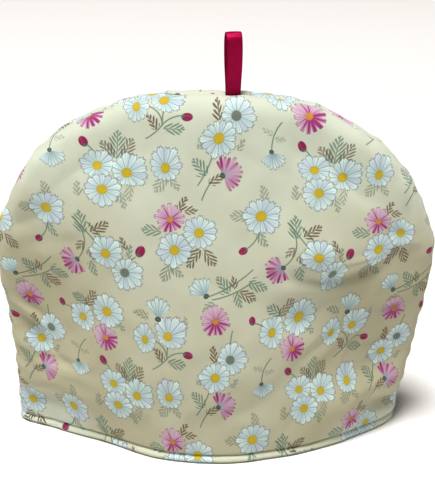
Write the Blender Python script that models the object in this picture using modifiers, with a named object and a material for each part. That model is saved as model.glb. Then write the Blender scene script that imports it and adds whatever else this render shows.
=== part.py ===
"""Tea cosy in padded cotton: a front panel, a back panel and a ribbon loop at the top.

The cosy stands open on its hem. Metres, +Z up, and the front faces -Y. The seam that joins the two
panels lies in the plane y = 0, and the origin is on the floor under the middle of the cosy's width.
Each panel is drawn flat first, as the D shape that is cut from the cloth, and is then given its
place in space: the rounded edge at the seam, the belly that opens it at the foot, the stitched hem
and the soft folds.
"""

import math

import bmesh
import bpy
from mathutils import Vector

MM = 0.001
GAP = 0.3 * MM  # clearance between neighbouring pieces

# Seam outline, seen from the front, in millimetres: height, left side, right side
OUTLINE = (
    (0.0, -166.8, 150.8),
    (30.0, -166.0, 154.0),
    (60.0, -165.2, 158.8),
    (90.0, -166.4, 163.2),
    (120.0, -168.8, 166.8),
    (150.0, -171.2, 169.6),
    (174.0, -169.0, 167.2),
    (196.0, -160.4, 158.4),
    (218.0, -148.0, 146.6),
    (238.0, -134.2, 129.6),
    (254.0, -115.0, 107.8),
    (266.0, -92.4, 86.6),
    (275.0, -68.0, 64.4),
    (280.2, -43.0, 28.0),
)
APEX = (-12.0, 281.9)
POINTS_PER_SPAN = 10  # points on the smooth curves between the rows of a table

# The belly of a panel, measured forward from its rounded edge
BELLY = 62.5 * MM
BELLY_EXPONENT = 1.7  # how the belly thins with height
UPPER_CURVE = 2.2  # 2 would be a parabola from side to side
UPPER_FROM = 120.0 * MM  # above this height the belly follows UPPER_CURVE, and FOOT at the floor
# Fullness of the belly along the hem: place from side seam to side seam, share of BELLY
FOOT = (
    (-1.0, 0.0),
    (-0.9, 0.13),
    (-0.7, 0.36),
    (-0.5, 0.605),
    (-0.3, 0.865),
    (-0.15, 0.97),
    (0.0, 1.0),
    (0.15, 0.99),
    (0.35, 0.9),
    (0.5, 0.785),
    (0.7, 0.585),
    (0.85, 0.37),
    (0.93, 0.2),
    (1.0, 0.0),
)

# The rounded edge at the seam, at full size; it is smaller near the hem
EDGE_RADIUS = 7.5 * MM
EDGE_CENTRE = 5.2 * MM  # how far the centre of the round lies from the seam plane
EDGE_END = math.radians(75)
EDGE_RUNOUT = 5.0 * MM
EDGE_GATHER = 4.0 * MM  # flat distance over which the round takes up its cloth
FAR_FROM_SEAM = 1.0  # any distance well past the round
HEM_EDGE_SCALE = 0.5
FULL_EDGE_FROM = 110.0 * MM
LEVEL_UNTIL = 40.0 * MM  # below this height the edge rounds more and more level

# Wall
WALL = 7.0 * MM
MATING_STRIP = 4.0 * MM  # flat strip where the panels meet inside the seam
INNER_CORNER = 10.0 * MM

# Seam roll, a soft ridge over the seam allowance with a trough below it
ROLL = ((9.0 * MM, 6.0 * MM, 1.0 * MM), (30.0 * MM, 12.0 * MM, -1.8 * MM))  # place, width, rise
# Over the middle of the top the roll is fuller and the trough is gone
CROWN_ROLL = ((14.0 * MM, 24.0 * MM, 2.4 * MM),)
CROWN_HALF = 36.0 * MM
CROWN_FADE = 30.0 * MM
CROWN_RISE = 12.0 * MM

# Hem: height above the floor, how far the outer face stands out, how far the inner face stands in
HEM = (
    (0.0, -0.5, -1.3),
    (0.8, 0.8, -0.4),
    (1.8, 1.1, 0.0),
    (3.6, 0.3, 0.0),
    (5.2, -0.9, -0.4),
    (6.6, -2.7, -1.0),
    (8.2, -1.1, -0.4),
    (11.0, 0.3, 0.0),
    (17.0, 0.3, 0.0),
    (28.0, 0.0, 0.0),
)
CORNER_HEM = 0.35  # share of the hem's profile left at the side seams
CORNER_REACH = 16.0 * MM

# Folds and dents, as x, height, heading in degrees, length, width and rise, in millimetres
FRONT_FOLDS = (
    (-112.0, 214.0, -10.0, 48.0, 26.0, 4.4),
    (-128.0, 112.0, -4.0, 42.0, 48.0, -9.4),
    (-128.0, 42.0, -4.0, 40.0, 17.0, 3.0),
    (-150.0, 92.0, -42.0, 26.0, 9.0, -2.4),
    (-150.0, 74.0, -36.0, 26.0, 12.0, 2.0),
    (-135.0, 30.0, -4.0, 34.0, 9.0, -1.6),
    (96.0, 190.0, 14.0, 50.0, 26.0, 4.2),
    (80.0, 170.0, 0.0, 42.0, 15.0, 3.8),
    (62.0, 122.0, 34.0, 26.0, 14.0, -2.0),
    (118.0, 132.0, 18.0, 34.0, 9.0, 1.2),
    (118.0, 96.0, 10.0, 48.0, 40.0, -8.4),
    (60.0, 70.0, 28.0, 60.0, 12.0, -1.6),
    (120.0, 42.0, 18.0, 44.0, 16.0, 4.6),
    (138.0, 26.0, -8.0, 16.0, 7.0, -2.4),
)
BACK_FOLDS = (
    (-112.0, 150.0, 22.0, 42.0, 22.0, -3.0),
    (-60.0, 84.0, 34.0, 52.0, 14.0, -2.4),
    (-128.0, 52.0, 20.0, 34.0, 12.0, 2.4),
    (30.0, 120.0, -12.0, 60.0, 26.0, -2.4),
    (124.0, 96.0, -30.0, 34.0, 11.0, -3.0),
    (132.0, 70.0, -26.0, 32.0, 12.0, 2.2),
    (96.0, 176.0, 30.0, 30.0, 16.0, -2.2),
    (128.0, 28.0, 6.0, 30.0, 9.0, -2.4),
)
FOLD_FADE = 10.0 * MM  # folds die out this close to the seam

# Ribbon loop, sewn into the seam to the right of the top
RIBBON_X = 12.5 * MM
RIBBON_WIDTH = 11.0 * MM
RIBBON_THICK = 1.0 * MM
RIBBON_RISE = 46.0 * MM
RIBBON_TAIL = 5.5 * MM
RIBBON_BELLY = 9.5 * MM  # how far each leg of the loop swings out
RIBBON_TWIST = math.radians(9)
LEG_STEPS = 20
LEG_CROWDING = 1.8  # over 1 sets the ribbon's stations closer together towards the top

# Mesh: cells of the flat panel
SIDE_ROWS = 14
TOP_COLUMNS = 24
CORNER_HEIGHT = 225.0 * MM  # where the side rows end and the top columns begin
EDGE_STEPS = (0.0, 2.0 * MM, 4.5 * MM, 8.5 * MM, 14.0 * MM, 21.0 * MM)
BAND_STEPS = 5
CORE_HALF = {-1: 95.0 * MM, 1: 85.0 * MM}  # half width of the core at the floor
CORE_TOP_HALF = 78.0 * MM
CORE_HEIGHT = 165.0 * MM
CORE_CROWN = 30.0 * MM

COTTON = (0.80, 0.76, 0.60)
SATIN = (0.42, 0.02, 0.08)


def smooth(t):
    """0 to 1 with soft ends."""
    t = min(1.0, max(0.0, t))
    return t * t * (3.0 - 2.0 * t)


def mix(a, b, t):
    return a + (b - a) * t


# ---- the seam ----------------------------------------------------------------------------------


def curve_through(knots):
    """A smooth curve through flat points, a Catmull-Rom spline spaced by the knots' distances."""
    knots = [Vector(knot) for knot in knots]
    lengths = [(b - a).length for a, b in zip(knots, knots[1:])]
    slopes = [(knots[1] - knots[0]) / lengths[0]]
    for i in range(1, len(knots) - 1):
        before = (knots[i] - knots[i - 1]) / lengths[i - 1]
        after = (knots[i + 1] - knots[i]) / lengths[i]
        weight = lengths[i] / (lengths[i - 1] + lengths[i])
        slopes.append(before * weight + after * (1.0 - weight))
    slopes.append((knots[-1] - knots[-2]) / lengths[-1])
    line = []
    for i, length in enumerate(lengths):
        for k in range(POINTS_PER_SPAN):
            t = k / POINTS_PER_SPAN
            point = knots[i] * (1 + 2 * t) * (1 - t) ** 2 + knots[i + 1] * t * t * (3 - 2 * t)
            point += slopes[i] * length * t * (1 - t) ** 2 - slopes[i + 1] * length * t * t * (1 - t)
            line.append(point)
    line.append(knots[-1])
    return line


def along(line, place):
    """The second coordinate of a curve where its rising first coordinate is place."""
    for low, high in zip(line, line[1:]):
        if place <= high.x:
            return mix(low.y, high.y, max(0.0, place - low.x) / (high.x - low.x))
    return line[-1].y


FOOT_LINE = curve_through(FOOT)

# The seam from the left hem corner over the top to the right one, as flat (x, z) points
LEFT_KNOTS = [(left, height) for height, left, _ in OUTLINE]
RIGHT_KNOTS = [(right, height) for height, _, right in reversed(OUTLINE)]
SEAM = [point * MM for point in curve_through([*LEFT_KNOTS, APEX, *RIGHT_KNOTS])]
DOME_TOP = max(point.y for point in SEAM)
TOP_NUMBER = [point.y for point in SEAM].index(DOME_TOP)
SIDE_LINES = {  # height and side place, each from the hem to the top
    -1: [Vector((point.y, point.x)) for point in SEAM[: TOP_NUMBER + 1]],
    1: [Vector((point.y, point.x)) for point in SEAM[: TOP_NUMBER - 1 : -1]],
}


def seam_side(z, side):
    """Where the seam stands at a height, on the left (-1) or the right (1)."""
    return along(SIDE_LINES[side], z)


def seam_arc(start_z, share):
    """A point on the seam over the top, from its left place at a height (0) to its right one (1)."""
    over = [point for point in SEAM if point.y > start_z]
    over = [Vector((seam_side(start_z, -1), start_z))] + over + [Vector((seam_side(start_z, 1), start_z))]
    steps = [(b - a).length for a, b in zip(over, over[1:])]
    left_to_go = share * sum(steps)
    for a, b, step in zip(over, over[1:], steps):
        if left_to_go <= step:
            return a.lerp(b, left_to_go / step)
        left_to_go -= step
    return over[-1]


def from_seam(point):
    """Distance from the seam and the outward direction there, for a flat point."""
    nearest, outward = None, None
    for a, b in zip(SEAM, SEAM[1:]):
        step = b - a
        share = min(1.0, max(0.0, (point - a).dot(step) / step.length_squared))
        distance = (point - a - step * share).length
        if nearest is None or distance < nearest:
            nearest = distance
            outward = Vector((-step.y, step.x)).normalized()
    outward.y *= smooth(point.y / LEVEL_UNTIL)  # level at the hem
    return nearest, outward.normalized()


# ---- the shape of a panel ----------------------------------------------------------------------


def edge_round(distance):
    """The rounded edge: outward place, forward place and the normal's angle, for a flat distance."""
    start = -math.asin((EDGE_CENTRE - GAP / 2) / EDGE_RADIUS)
    arc = EDGE_RADIUS * (EDGE_END - start)
    end_out = EDGE_RADIUS * (math.cos(EDGE_END) - 1.0)
    taken = distance + (arc + end_out) * (1.0 - math.exp(-distance / EDGE_GATHER))
    if taken < arc:
        angle = start + taken / EDGE_RADIUS
        out = EDGE_RADIUS * (math.cos(angle) - 1.0)
        return out, EDGE_CENTRE + EDGE_RADIUS * math.sin(angle), angle
    past = taken - arc
    settle = math.exp(-past / EDGE_RUNOUT)
    forward = EDGE_CENTRE + EDGE_RADIUS * math.sin(EDGE_END)
    forward += EDGE_RUNOUT * math.cos(EDGE_END) * (1.0 - settle)
    return end_out - past, forward, mix(math.pi / 2, EDGE_END, settle)


def belly(x, z):
    """How far the panel stands forward of its rounded edge."""
    left, right = seam_side(z, -1), seam_side(z, 1)
    if right - left < MM:
        return 0.0
    across = (2 * x - right - left) / (right - left)
    across = min(1.0, max(-1.0, across))
    fullness = mix(along(FOOT_LINE, across), 1.0 - abs(across) ** UPPER_CURVE, smooth(z / UPPER_FROM))
    rise = min(1.0, max(0.0, z) / DOME_TOP) ** BELLY_EXPONENT
    return BELLY * fullness * (1.0 - rise)


def folds_at(x, z, folds):
    """The rise of all folds at a place, each a soft ridge or trough along its heading."""
    total = 0.0
    for fold_x, fold_z, heading, length, width, rise in folds:
        turn = math.radians(heading)
        dx, dz = x - fold_x * MM, z - fold_z * MM
        lengthwise = (dx * math.cos(turn) + dz * math.sin(turn)) / (length * MM)
        across = (dz * math.cos(turn) - dx * math.sin(turn)) / (width * MM)
        total += rise * MM * math.exp(-(lengthwise**2) - across**2)
    return total


def hem_push(z, column):
    """The hem's profile from the HEM table: column 1 for the outside, 2 for the inside."""
    for low, high in zip(HEM, HEM[1:]):
        if z <= high[0] * MM + 1e-9:
            share = (z / MM - low[0]) / (high[0] - low[0])
            return mix(low[column], high[column], share) * MM
    return 0.0


def roll_height(distance, roll):
    """The rise of a roll at a distance from the seam."""
    return sum(rise * math.exp(-(((distance - where) / width) ** 2)) for where, width, rise in roll)


def seam_roll(flat, distance):
    """The rise of the ridge and the trough that follow the seam."""
    crown = roll_height(distance, CROWN_ROLL) * smooth(distance / CROWN_RISE)
    return mix(crown, roll_height(distance, ROLL), smooth((abs(flat.x) - CROWN_HALF) / CROWN_FADE))


def panel_points(flat, folds):
    """The outer and inner point of the front panel for one flat point, with +Y taken as forward."""
    distance, outward = from_seam(flat)
    scale = mix(HEM_EDGE_SCALE, 1.0, smooth(flat.y / FULL_EDGE_FROM))
    out, forward, angle = edge_round(distance / scale)
    depth = edge_round(FAR_FROM_SEAM)[1] * scale

    place = flat + outward * (out * scale + distance)
    step = 1.0 * MM
    slope_x = (belly(place.x + step, place.y) - belly(place.x - step, place.y)) / (2 * step)
    slope_z = (belly(place.x, place.y + step) - belly(place.x, max(0.0, place.y - step))) / (2 * step)
    facing = Vector((-slope_x, 1.0, -slope_z)).normalized()
    rim = Vector((outward.x, 0.0, outward.y))
    normal = (rim * math.cos(angle) + facing * math.sin(angle)).normalized()
    push = folds_at(flat.x, flat.y, folds) * smooth(distance / FOLD_FADE)
    if distance < GAP:
        normal = rim  # the seam itself stays in its plane
    else:
        push += seam_roll(flat, distance) * scale
    level = Vector((normal.x, normal.y, 0.0)).normalized()
    outer = Vector((place.x, forward * scale + belly(place.x, place.y), place.y))
    outer += normal * push
    outer += level * hem_push(flat.y, 1) * mix(CORNER_HEM, 1.0, smooth(distance / CORNER_REACH))

    sunk = -edge_round(0.0)[0] * scale
    place = flat - outward * sunk * math.exp(-distance / INNER_CORNER)
    thick = WALL * math.sqrt(1.0 + min(1.0, slope_x**2 + slope_z**2))
    rising = smooth((distance - MATING_STRIP) / INNER_CORNER)
    reach = belly(place.x, place.y) + depth - thick - GAP / 2
    inner = Vector((place.x, GAP / 2 + rising * max(0.0, reach), place.y))
    inner += facing * push * rising
    inner -= Vector((facing.x, facing.y, 0.0)).normalized() * hem_push(flat.y, 2) * rising
    if flat.y == 0.0:
        outer.z = inner.z = 0.0
    return outer, inner


# ---- the flat panel ----------------------------------------------------------------------------


def flat_rows():
    """Row heights up the side seam: the hem's own rows, then even ones up to the corner height."""
    hem_rows = [row[0] * MM for row in HEM]
    start = hem_rows[-1]
    return hem_rows + [mix(start, CORNER_HEIGHT, (i + 1) / SIDE_ROWS) for i in range(SIDE_ROWS)]


def core_edge(height_share, side):
    """Where the core's left (-1) or right (1) edge stands."""
    return mix(CORE_HALF[side], CORE_TOP_HALF, height_share) * side


def flat_panel():
    """The flat D shape as a band of cells along the seam round a core of rows and columns.

    Returns the flat points, the cells as tuples of point numbers, the hem's point numbers from left to
    right, and the seam's from the left hem corner over the top to the right one.
    """
    rows = flat_rows()
    columns = [i / TOP_COLUMNS for i in range(TOP_COLUMNS + 1)]
    shares = [z / CORNER_HEIGHT for z in rows]
    hem_top = HEM[-1][0] * MM

    def core_height(share):
        # The hem's rows keep their heights, and the others spread to the core's top.
        z = share * CORNER_HEIGHT
        if z <= hem_top:
            return z
        return mix(hem_top, CORE_HEIGHT, (z - hem_top) / (CORNER_HEIGHT - hem_top))

    def core_point(share, column):
        z = core_height(share)
        lift = CORE_CROWN * (1.0 - (2.0 * column - 1.0) ** 2)
        lift *= smooth((z - hem_top) / (CORE_HEIGHT - hem_top))
        x = mix(core_edge(share, -1), core_edge(share, 1), column)
        return Vector((x, z + lift))

    points, cells, number = [], [], {}

    def add(key, point):
        number[key] = len(points)
        points.append(point)

    for r, share in enumerate(shares):
        for c, column in enumerate(columns):
            add(("core", r, c), core_point(share, column))

    # The rim of the core, from the left hem corner over the top to the right one, with its seam points
    last_row, last_column = len(rows) - 1, TOP_COLUMNS
    rim = [((r, 0), Vector((seam_side(rows[r], -1), rows[r]))) for r in range(len(rows))]
    rim += [((last_row, c), seam_arc(CORNER_HEIGHT, columns[c])) for c in range(1, last_column)]
    rim += [((r, last_column), Vector((seam_side(rows[r], 1), rows[r]))) for r in reversed(range(len(rows)))]

    steps = len(EDGE_STEPS) + BAND_STEPS
    for i, ((r, c), seam) in enumerate(rim):
        core = points[number["core", r, c]]
        reach = (core - seam).length
        for k in range(steps):
            if k < len(EDGE_STEPS):
                distance = EDGE_STEPS[k]
            else:
                distance = mix(EDGE_STEPS[-1], reach, (k - len(EDGE_STEPS) + 1) / (BAND_STEPS + 1))
            add(("band", i, k), seam.lerp(core, distance / reach))
        number["band", i, steps] = number["core", r, c]

    for r in range(last_row):
        for c in range(last_column):
            corners = ((r, c), (r, c + 1), (r + 1, c + 1), (r + 1, c))
            cells.append(tuple(number["core", *corner] for corner in corners))
    for i in range(len(rim) - 1):
        for k in range(steps):
            corners = ((i, k), (i, k + 1), (i + 1, k + 1), (i + 1, k))
            cells.append(tuple(number["band", *corner] for corner in corners))

    end = len(rim) - 1
    hem = [number["band", 0, k] for k in range(steps)]
    hem += [number["core", 0, c] for c in range(last_column + 1)]
    hem += [number["band", end, k] for k in reversed(range(steps))]
    return points, cells, hem, [number["band", i, 0] for i in range(len(rim))]


# ---- building the pieces -----------------------------------------------------------------------


def make_material(name, colour, roughness):
    material = bpy.data.materials.new(name)
    material.use_nodes = True
    shader = material.node_tree.nodes["Principled BSDF"]
    shader.inputs["Base Color"].default_value = (*colour, 1.0)
    shader.inputs["Roughness"].default_value = roughness
    return material


def add_object(name, mesh, collection, material):
    piece = bpy.data.objects.new(name, mesh)
    piece.data.materials.append(material)
    collection.objects.link(piece)
    return piece


def make_panel(name, facing, folds, collection, material):
    """One padded panel. facing is -1 for the front, which looks to -Y, and 1 for the back."""
    points, cells, hem, seam = flat_panel()
    mesh = bmesh.new()
    outer, inner = [], []
    for flat in points:
        outer_point, inner_point = panel_points(flat, folds)
        outer.append(mesh.verts.new((outer_point.x, facing * outer_point.y, outer_point.z)))
        inner.append(mesh.verts.new((inner_point.x, facing * inner_point.y, inner_point.z)))
    for number in seam:  # one shared row of points along the seam
        outer[number].co.y = facing * GAP / 2
        mesh.verts.remove(inner[number])
        inner[number] = outer[number]
    for cell in cells:
        mesh.faces.new([outer[i] for i in cell])
        mesh.faces.new([inner[i] for i in reversed(cell)])
    for a, b in zip(hem, hem[1:]):
        strip = [outer[a], outer[b], inner[b], inner[a]]
        mesh.faces.new(list(dict.fromkeys(strip)))
    bmesh.ops.recalc_face_normals(mesh, faces=mesh.faces)
    data = bpy.data.meshes.new(name)
    mesh.to_mesh(data)
    mesh.free()
    data.shade_smooth()
    return add_object(name, data, collection, material)


def ribbon_stations():
    """The ribbon's path from the front tail over the top to the back tail, as height and forward."""
    valley = seam_top(RIBBON_X)
    leg = RIBBON_THICK / 2 + GAP / 2
    shares = [1.0 - (1.0 - i / LEG_STEPS) ** LEG_CROWDING for i in range(1, LEG_STEPS)]
    front = [(valley - RIBBON_TAIL, leg), (valley - RIBBON_TAIL / 2, leg), (valley, leg)]
    for share in shares:
        gap = RIBBON_BELLY * share**0.9 * math.sqrt(1.0 - share**6)
        front.append((valley + RIBBON_RISE * share, leg + gap))
    back = [(height, -forward) for height, forward in reversed(front)]
    return front + [(valley + RIBBON_RISE, 0.0)] + back


def seam_top(x):
    """Height of the sewn seam line above a place near the top, at the bottom of its groove."""
    nearest = min(SEAM, key=lambda point: abs(point.x - x) + (0.0 if point.y > CORNER_HEIGHT else 1.0))
    return nearest.y + edge_round(0.0)[0]


def make_ribbon(name, collection, material):
    """A strip of ribbon folded into a loop that twists a little, given its thickness by Solidify."""
    valley = seam_top(RIBBON_X)
    mesh = bmesh.new()
    edges = []
    for height, forward in ribbon_stations():
        turn = RIBBON_TWIST * smooth((height - valley) / (0.5 * RIBBON_RISE))
        row = []
        for across in (-RIBBON_WIDTH / 2, RIBBON_WIDTH / 2):
            x = across * math.cos(turn) + forward * math.sin(turn)
            y = across * math.sin(turn) - forward * math.cos(turn)
            row.append(mesh.verts.new((RIBBON_X + x, y, height)))
        edges.append(row)
    for low, high in zip(edges, edges[1:]):
        mesh.faces.new((low[0], low[1], high[1], high[0]))
    data = bpy.data.meshes.new(name)
    mesh.to_mesh(data)
    mesh.free()
    ribbon = add_object(name, data, collection, material)
    solidify = ribbon.modifiers.new("thickness", "SOLIDIFY")
    solidify.thickness = RIBBON_THICK
    solidify.offset = 0.0
    return ribbon


def cut_ribbon_pocket(panels, collection):
    """The pocket in the seam that holds the ribbon's two tails."""
    valley = seam_top(RIBBON_X)
    low, high = valley - RIBBON_TAIL - GAP, valley + RIBBON_TAIL
    bpy.ops.mesh.primitive_cube_add(size=1.0, location=(RIBBON_X, 0.0, (low + high) / 2))
    cutter = bpy.context.object
    cutter.name = "ribbon_pocket_cutter"
    cutter.scale = (RIBBON_WIDTH + 2 * GAP, 2 * RIBBON_THICK + 3 * GAP, high - low)
    bpy.ops.object.transform_apply(location=False, rotation=False, scale=True)
    for other in list(cutter.users_collection):
        other.objects.unlink(cutter)
    collection.objects.link(cutter)
    cutter.hide_render = True
    cutter.display_type = "WIRE"
    for panel in panels:
        cut = panel.modifiers.new("ribbon pocket", "BOOLEAN")
        cut.operation = "DIFFERENCE"
        cut.object = cutter


def main():
    for old in list(bpy.data.objects):
        bpy.data.objects.remove(old)
    cosy = bpy.data.collections.new("tea_cosy")
    cutters = bpy.data.collections.new("cutters")
    bpy.context.scene.collection.children.link(cosy)
    bpy.context.scene.collection.children.link(cutters)
    cotton = make_material("printed_cotton", COTTON, 0.9)
    satin = make_material("satin_ribbon", SATIN, 0.4)
    front = make_panel("front_panel", -1, FRONT_FOLDS, cosy, cotton)
    back = make_panel("back_panel", 1, BACK_FOLDS, cosy, cotton)
    make_ribbon("ribbon_loop", cosy, satin)
    cut_ribbon_pocket((front, back), cutters)


main()
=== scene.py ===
# %% [markdown]
# # A padded tea cosy in printed cotton
# A tea cosy is two wadded D-shaped panels, sewn together round the dome and left open at the hem.
# This lesson dresses a plain solid model of one: it makes the soft cover, the print, the ribbon loop
# and the stitches, and then lights them. All sizes are metres, and the front faces -Y.

# %% Load the solid model
import math

import bpy
import numpy as np
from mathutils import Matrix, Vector


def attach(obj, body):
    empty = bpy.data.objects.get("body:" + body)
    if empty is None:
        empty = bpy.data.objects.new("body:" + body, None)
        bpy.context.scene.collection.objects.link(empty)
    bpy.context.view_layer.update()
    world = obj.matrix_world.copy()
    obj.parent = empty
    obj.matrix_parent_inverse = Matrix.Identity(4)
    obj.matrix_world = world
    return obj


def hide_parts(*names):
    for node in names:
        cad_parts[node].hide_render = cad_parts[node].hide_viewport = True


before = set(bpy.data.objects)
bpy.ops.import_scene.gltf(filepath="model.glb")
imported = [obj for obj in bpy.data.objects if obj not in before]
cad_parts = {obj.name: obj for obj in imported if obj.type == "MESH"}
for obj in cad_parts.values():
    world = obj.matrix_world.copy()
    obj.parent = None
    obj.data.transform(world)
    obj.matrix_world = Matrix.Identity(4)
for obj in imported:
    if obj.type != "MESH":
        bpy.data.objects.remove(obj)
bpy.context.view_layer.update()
MM = 0.001
TAU = 2.0 * math.pi


def new_object(name, data):
    """A new object that is part of the scene."""
    made = bpy.data.objects.new(name, data)
    bpy.context.scene.collection.objects.link(made)
    return made


# %% [markdown]
# ## The camera
# A product picture of a cosy is taken from a little above, so that the eye meets its broad face and
# still sees over the rounded top. A long lens keeps the sides of the dome from splaying. The camera
# is placed by its height angle and its distance from a point inside the cosy, which is easier to
# change than three coordinates.

# %% Place the camera
CAMERA_ELEVATION = math.radians(25)
CAMERA_DISTANCE = 0.700
CAMERA_TARGET = Vector((0.0012, 0.0, 0.1575))
SENSOR_LONG_SIDE = 36.0  # mm
FRAME_LONG_SIDE = 495  # pixels
FOCAL_PIXELS = 889.0

camera_data = bpy.data.cameras.new("camera")
camera_data.sensor_fit = "VERTICAL"
camera_data.sensor_height = SENSOR_LONG_SIDE
camera_data.lens = FOCAL_PIXELS / FRAME_LONG_SIDE * SENSOR_LONG_SIDE
camera = new_object("camera", camera_data)
looking = Vector((0.0, math.cos(CAMERA_ELEVATION), -math.sin(CAMERA_ELEVATION)))
camera.location = CAMERA_TARGET - looking * CAMERA_DISTANCE
camera.rotation_euler = looking.to_track_quat("-Z", "Y").to_euler()
bpy.context.scene.camera = camera
print("lens in mm:", round(camera_data.lens, 2))

# %% [markdown]
# ## The floor and the light
# Pale cloth shows its folds only where light slides over it. One wide soft lamp hangs nearly
# overhead, a little to the left and to the front, so the rounded top is the brightest part, the
# face darkens towards the hem and the floor is lit evenly. Two weak lamps graze the sides and a
# weak warm sky fills the shadows. What the camera sees past the floor is as pale as the floor. The
# small functions here fill in the sockets of nodes by name, and every material is made with them.

# %% Make the floor and the lamps
FLOOR_SIZE = 6.0
FLOOR_PALE = (0.86, 0.85, 0.835, 1.0)
LAMPS = (  # name, place, size across, power in watts
    ("key", (-0.8, -1.7, 10.4), 3.4, 1290.0),
    ("side", (-1.7, -0.5, 0.5), 0.8, 3.0),
    ("side", (1.7, -0.5, 0.5), 0.8, 3.0),
)
LIT_POINT = Vector((0.0, 0.0, 0.15))
SKY_LIGHT = (0.18, 0.167, 0.155, 1.0)
BACKDROP = (0.97, 0.96, 0.945, 1.0)  # what the camera sees past the floor; it lights nothing
CONTRAST = 0.7  # under 1 prints the picture a grade harder


def connect(tree, value, slot):
    """Put a plain value, another socket or a Field, which is defined below, into a socket."""
    source = getattr(value, "socket", value)
    if isinstance(source, bpy.types.NodeSocket):
        tree.links.new(source, slot)
    else:
        slot.default_value = source


def set_inputs(tree, node, inputs):
    """Fill a node's sockets by name."""
    for name, value in inputs.items():
        connect(tree, value, node.inputs[name])


def add_node(tree, kind, settings=None, **inputs):
    """A new node with its settings made and its sockets filled by name."""
    node = tree.nodes.new(kind)
    for name, value in (settings or {}).items():
        setattr(node, name, value)
    set_inputs(tree, node, inputs)
    return node


def new_finish(name):
    """A new material, its node tree and its shader."""
    material = bpy.data.materials.new(name)
    material.use_nodes = True
    return material, material.node_tree, material.node_tree.nodes["Principled BSDF"]


bpy.ops.mesh.primitive_plane_add(size=FLOOR_SIZE)
floor = bpy.context.object
floor.name = "floor"
pale_floor, tree, shader = new_finish("pale_floor")
set_inputs(tree, shader, {"Base Color": FLOOR_PALE, "Roughness": 0.9})
floor.data.materials.append(pale_floor)

for name, place, size, power in LAMPS:
    lamp_data = bpy.data.lights.new(name, "AREA")
    lamp_data.shape = "DISK"
    lamp_data.size = size
    lamp_data.energy = power
    lamp = new_object(name, lamp_data)
    lamp.location = place
    lamp.rotation_euler = (LIT_POINT - lamp.location).to_track_quat("-Z", "Y").to_euler()

sky = bpy.data.worlds.new("sky")
sky.use_nodes = True
tree = sky.node_tree
seen = add_node(tree, "ShaderNodeLightPath").outputs["Is Camera Ray"]
sky_colour = add_node(tree, "ShaderNodeMixRGB", Fac=seen, Color1=SKY_LIGHT, Color2=BACKDROP)
set_inputs(tree, tree.nodes["Background"], {"Color": sky_colour.outputs["Color"]})
bpy.context.scene.world = sky
bpy.context.scene.view_settings.view_transform = "Standard"
bpy.context.scene.view_settings.gamma = CONTRAST

# %% [markdown]
# ## The line of the seam
# The seam that joins the panels is the cosy's outline. A maker would draw it by hand through a few
# marks, and a spline does the same: the table gives the seam's place left and right at a few
# heights, and a smooth curve runs through them. Everything else on a panel is measured from this
# line, because the wadding, the rounded edge and the puckers all follow it.

# %% Draw the seam through its marks
OUTLINE = (  # height, left side, right side, in mm
    (0, -166.8, 150.8),
    (30, -166, 154),
    (60, -165.2, 158.8),
    (90, -166.4, 163.2),
    (120, -168.8, 166.8),
    (150, -171.2, 169.6),
    (174, -169, 167.2),
    (196, -160.4, 158.4),
    (218, -148, 146.6),
    (238, -134.2, 129.6),
    (254, -115, 107.8),
    (266, -92.4, 86.6),
    (275, -68, 64.4),
    (280.2, -43, 28),
)
APEX = (-12.0, 281.9)
POINTS_PER_SPAN = 12


def curve_through(knots):
    """Points of a smooth curve through the knots, a Catmull-Rom spline spaced by their distances."""
    knots = np.array(knots, float)
    spans = np.diff(knots, axis=0)
    lengths = np.linalg.norm(spans, axis=1)[:, None]
    slopes = np.vstack([spans[:1] / lengths[:1], np.zeros_like(knots[2:]), spans[-1:] / lengths[-1:]])
    weights = lengths[1:] / (lengths[:-1] + lengths[1:])
    slopes[1:-1] = spans[:-1] / lengths[:-1] * weights + spans[1:] / lengths[1:] * (1 - weights)
    t = (np.arange(POINTS_PER_SPAN) / POINTS_PER_SPAN)[None, :, None]
    start, end, pull = knots[:-1, None], knots[1:, None], lengths[:, None]
    line = start * (1 + 2 * t) * (1 - t) ** 2 + end * t * t * (3 - 2 * t)
    line += slopes[:-1, None] * pull * t * (1 - t) ** 2 - slopes[1:, None] * pull * t * t * (1 - t)
    return np.vstack([line.reshape(-1, 2), knots[-1:]])


left_marks = [(left, height) for height, left, _ in OUTLINE]
right_marks = [(right, height) for height, _, right in reversed(OUTLINE)]
SEAM = curve_through([*left_marks, APEX, *right_marks]) * MM
TOP = int(SEAM[:, 1].argmax())
DOME_TOP = SEAM[TOP, 1]
print("seam points:", len(SEAM), "top of the dome in mm:", round(DOME_TOP / MM, 1))

# %% [markdown]
# Two measures are taken from the line again and again: how far a place on the flat cloth is from
# the seam, with the direction straight out to it, and where the seam stands at a given height. Both
# take whole arrays of points, so that a fine mesh costs little time.

# %% Measure from the seam
LEVEL_UNTIL = 40.0 * MM  # below this height the edge rounds more and more level
TINY = 1e-12  # keeps a length of nought from dividing


def smooth(t):
    """0 to 1 with soft ends."""
    t = np.clip(t, 0.0, 1.0)
    return t * t * (3.0 - 2.0 * t)


def mix(a, b, t):
    """a where t is 0 and b where it is 1."""
    return a + (b - a) * t


def unit(vectors):
    """The same directions with length 1."""
    return vectors / np.maximum(np.linalg.norm(vectors, axis=-1, keepdims=True), TINY)


def distance_along(line):
    """How far each point of a line is from its start, along the line."""
    return np.concatenate([[0.0], np.cumsum(np.linalg.norm(np.diff(line, axis=0), axis=1))])


seam_headings = unit(np.gradient(SEAM, axis=0))
SEAM_OUTWARD = np.stack([-seam_headings[:, 1], seam_headings[:, 0]], axis=1)


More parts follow.
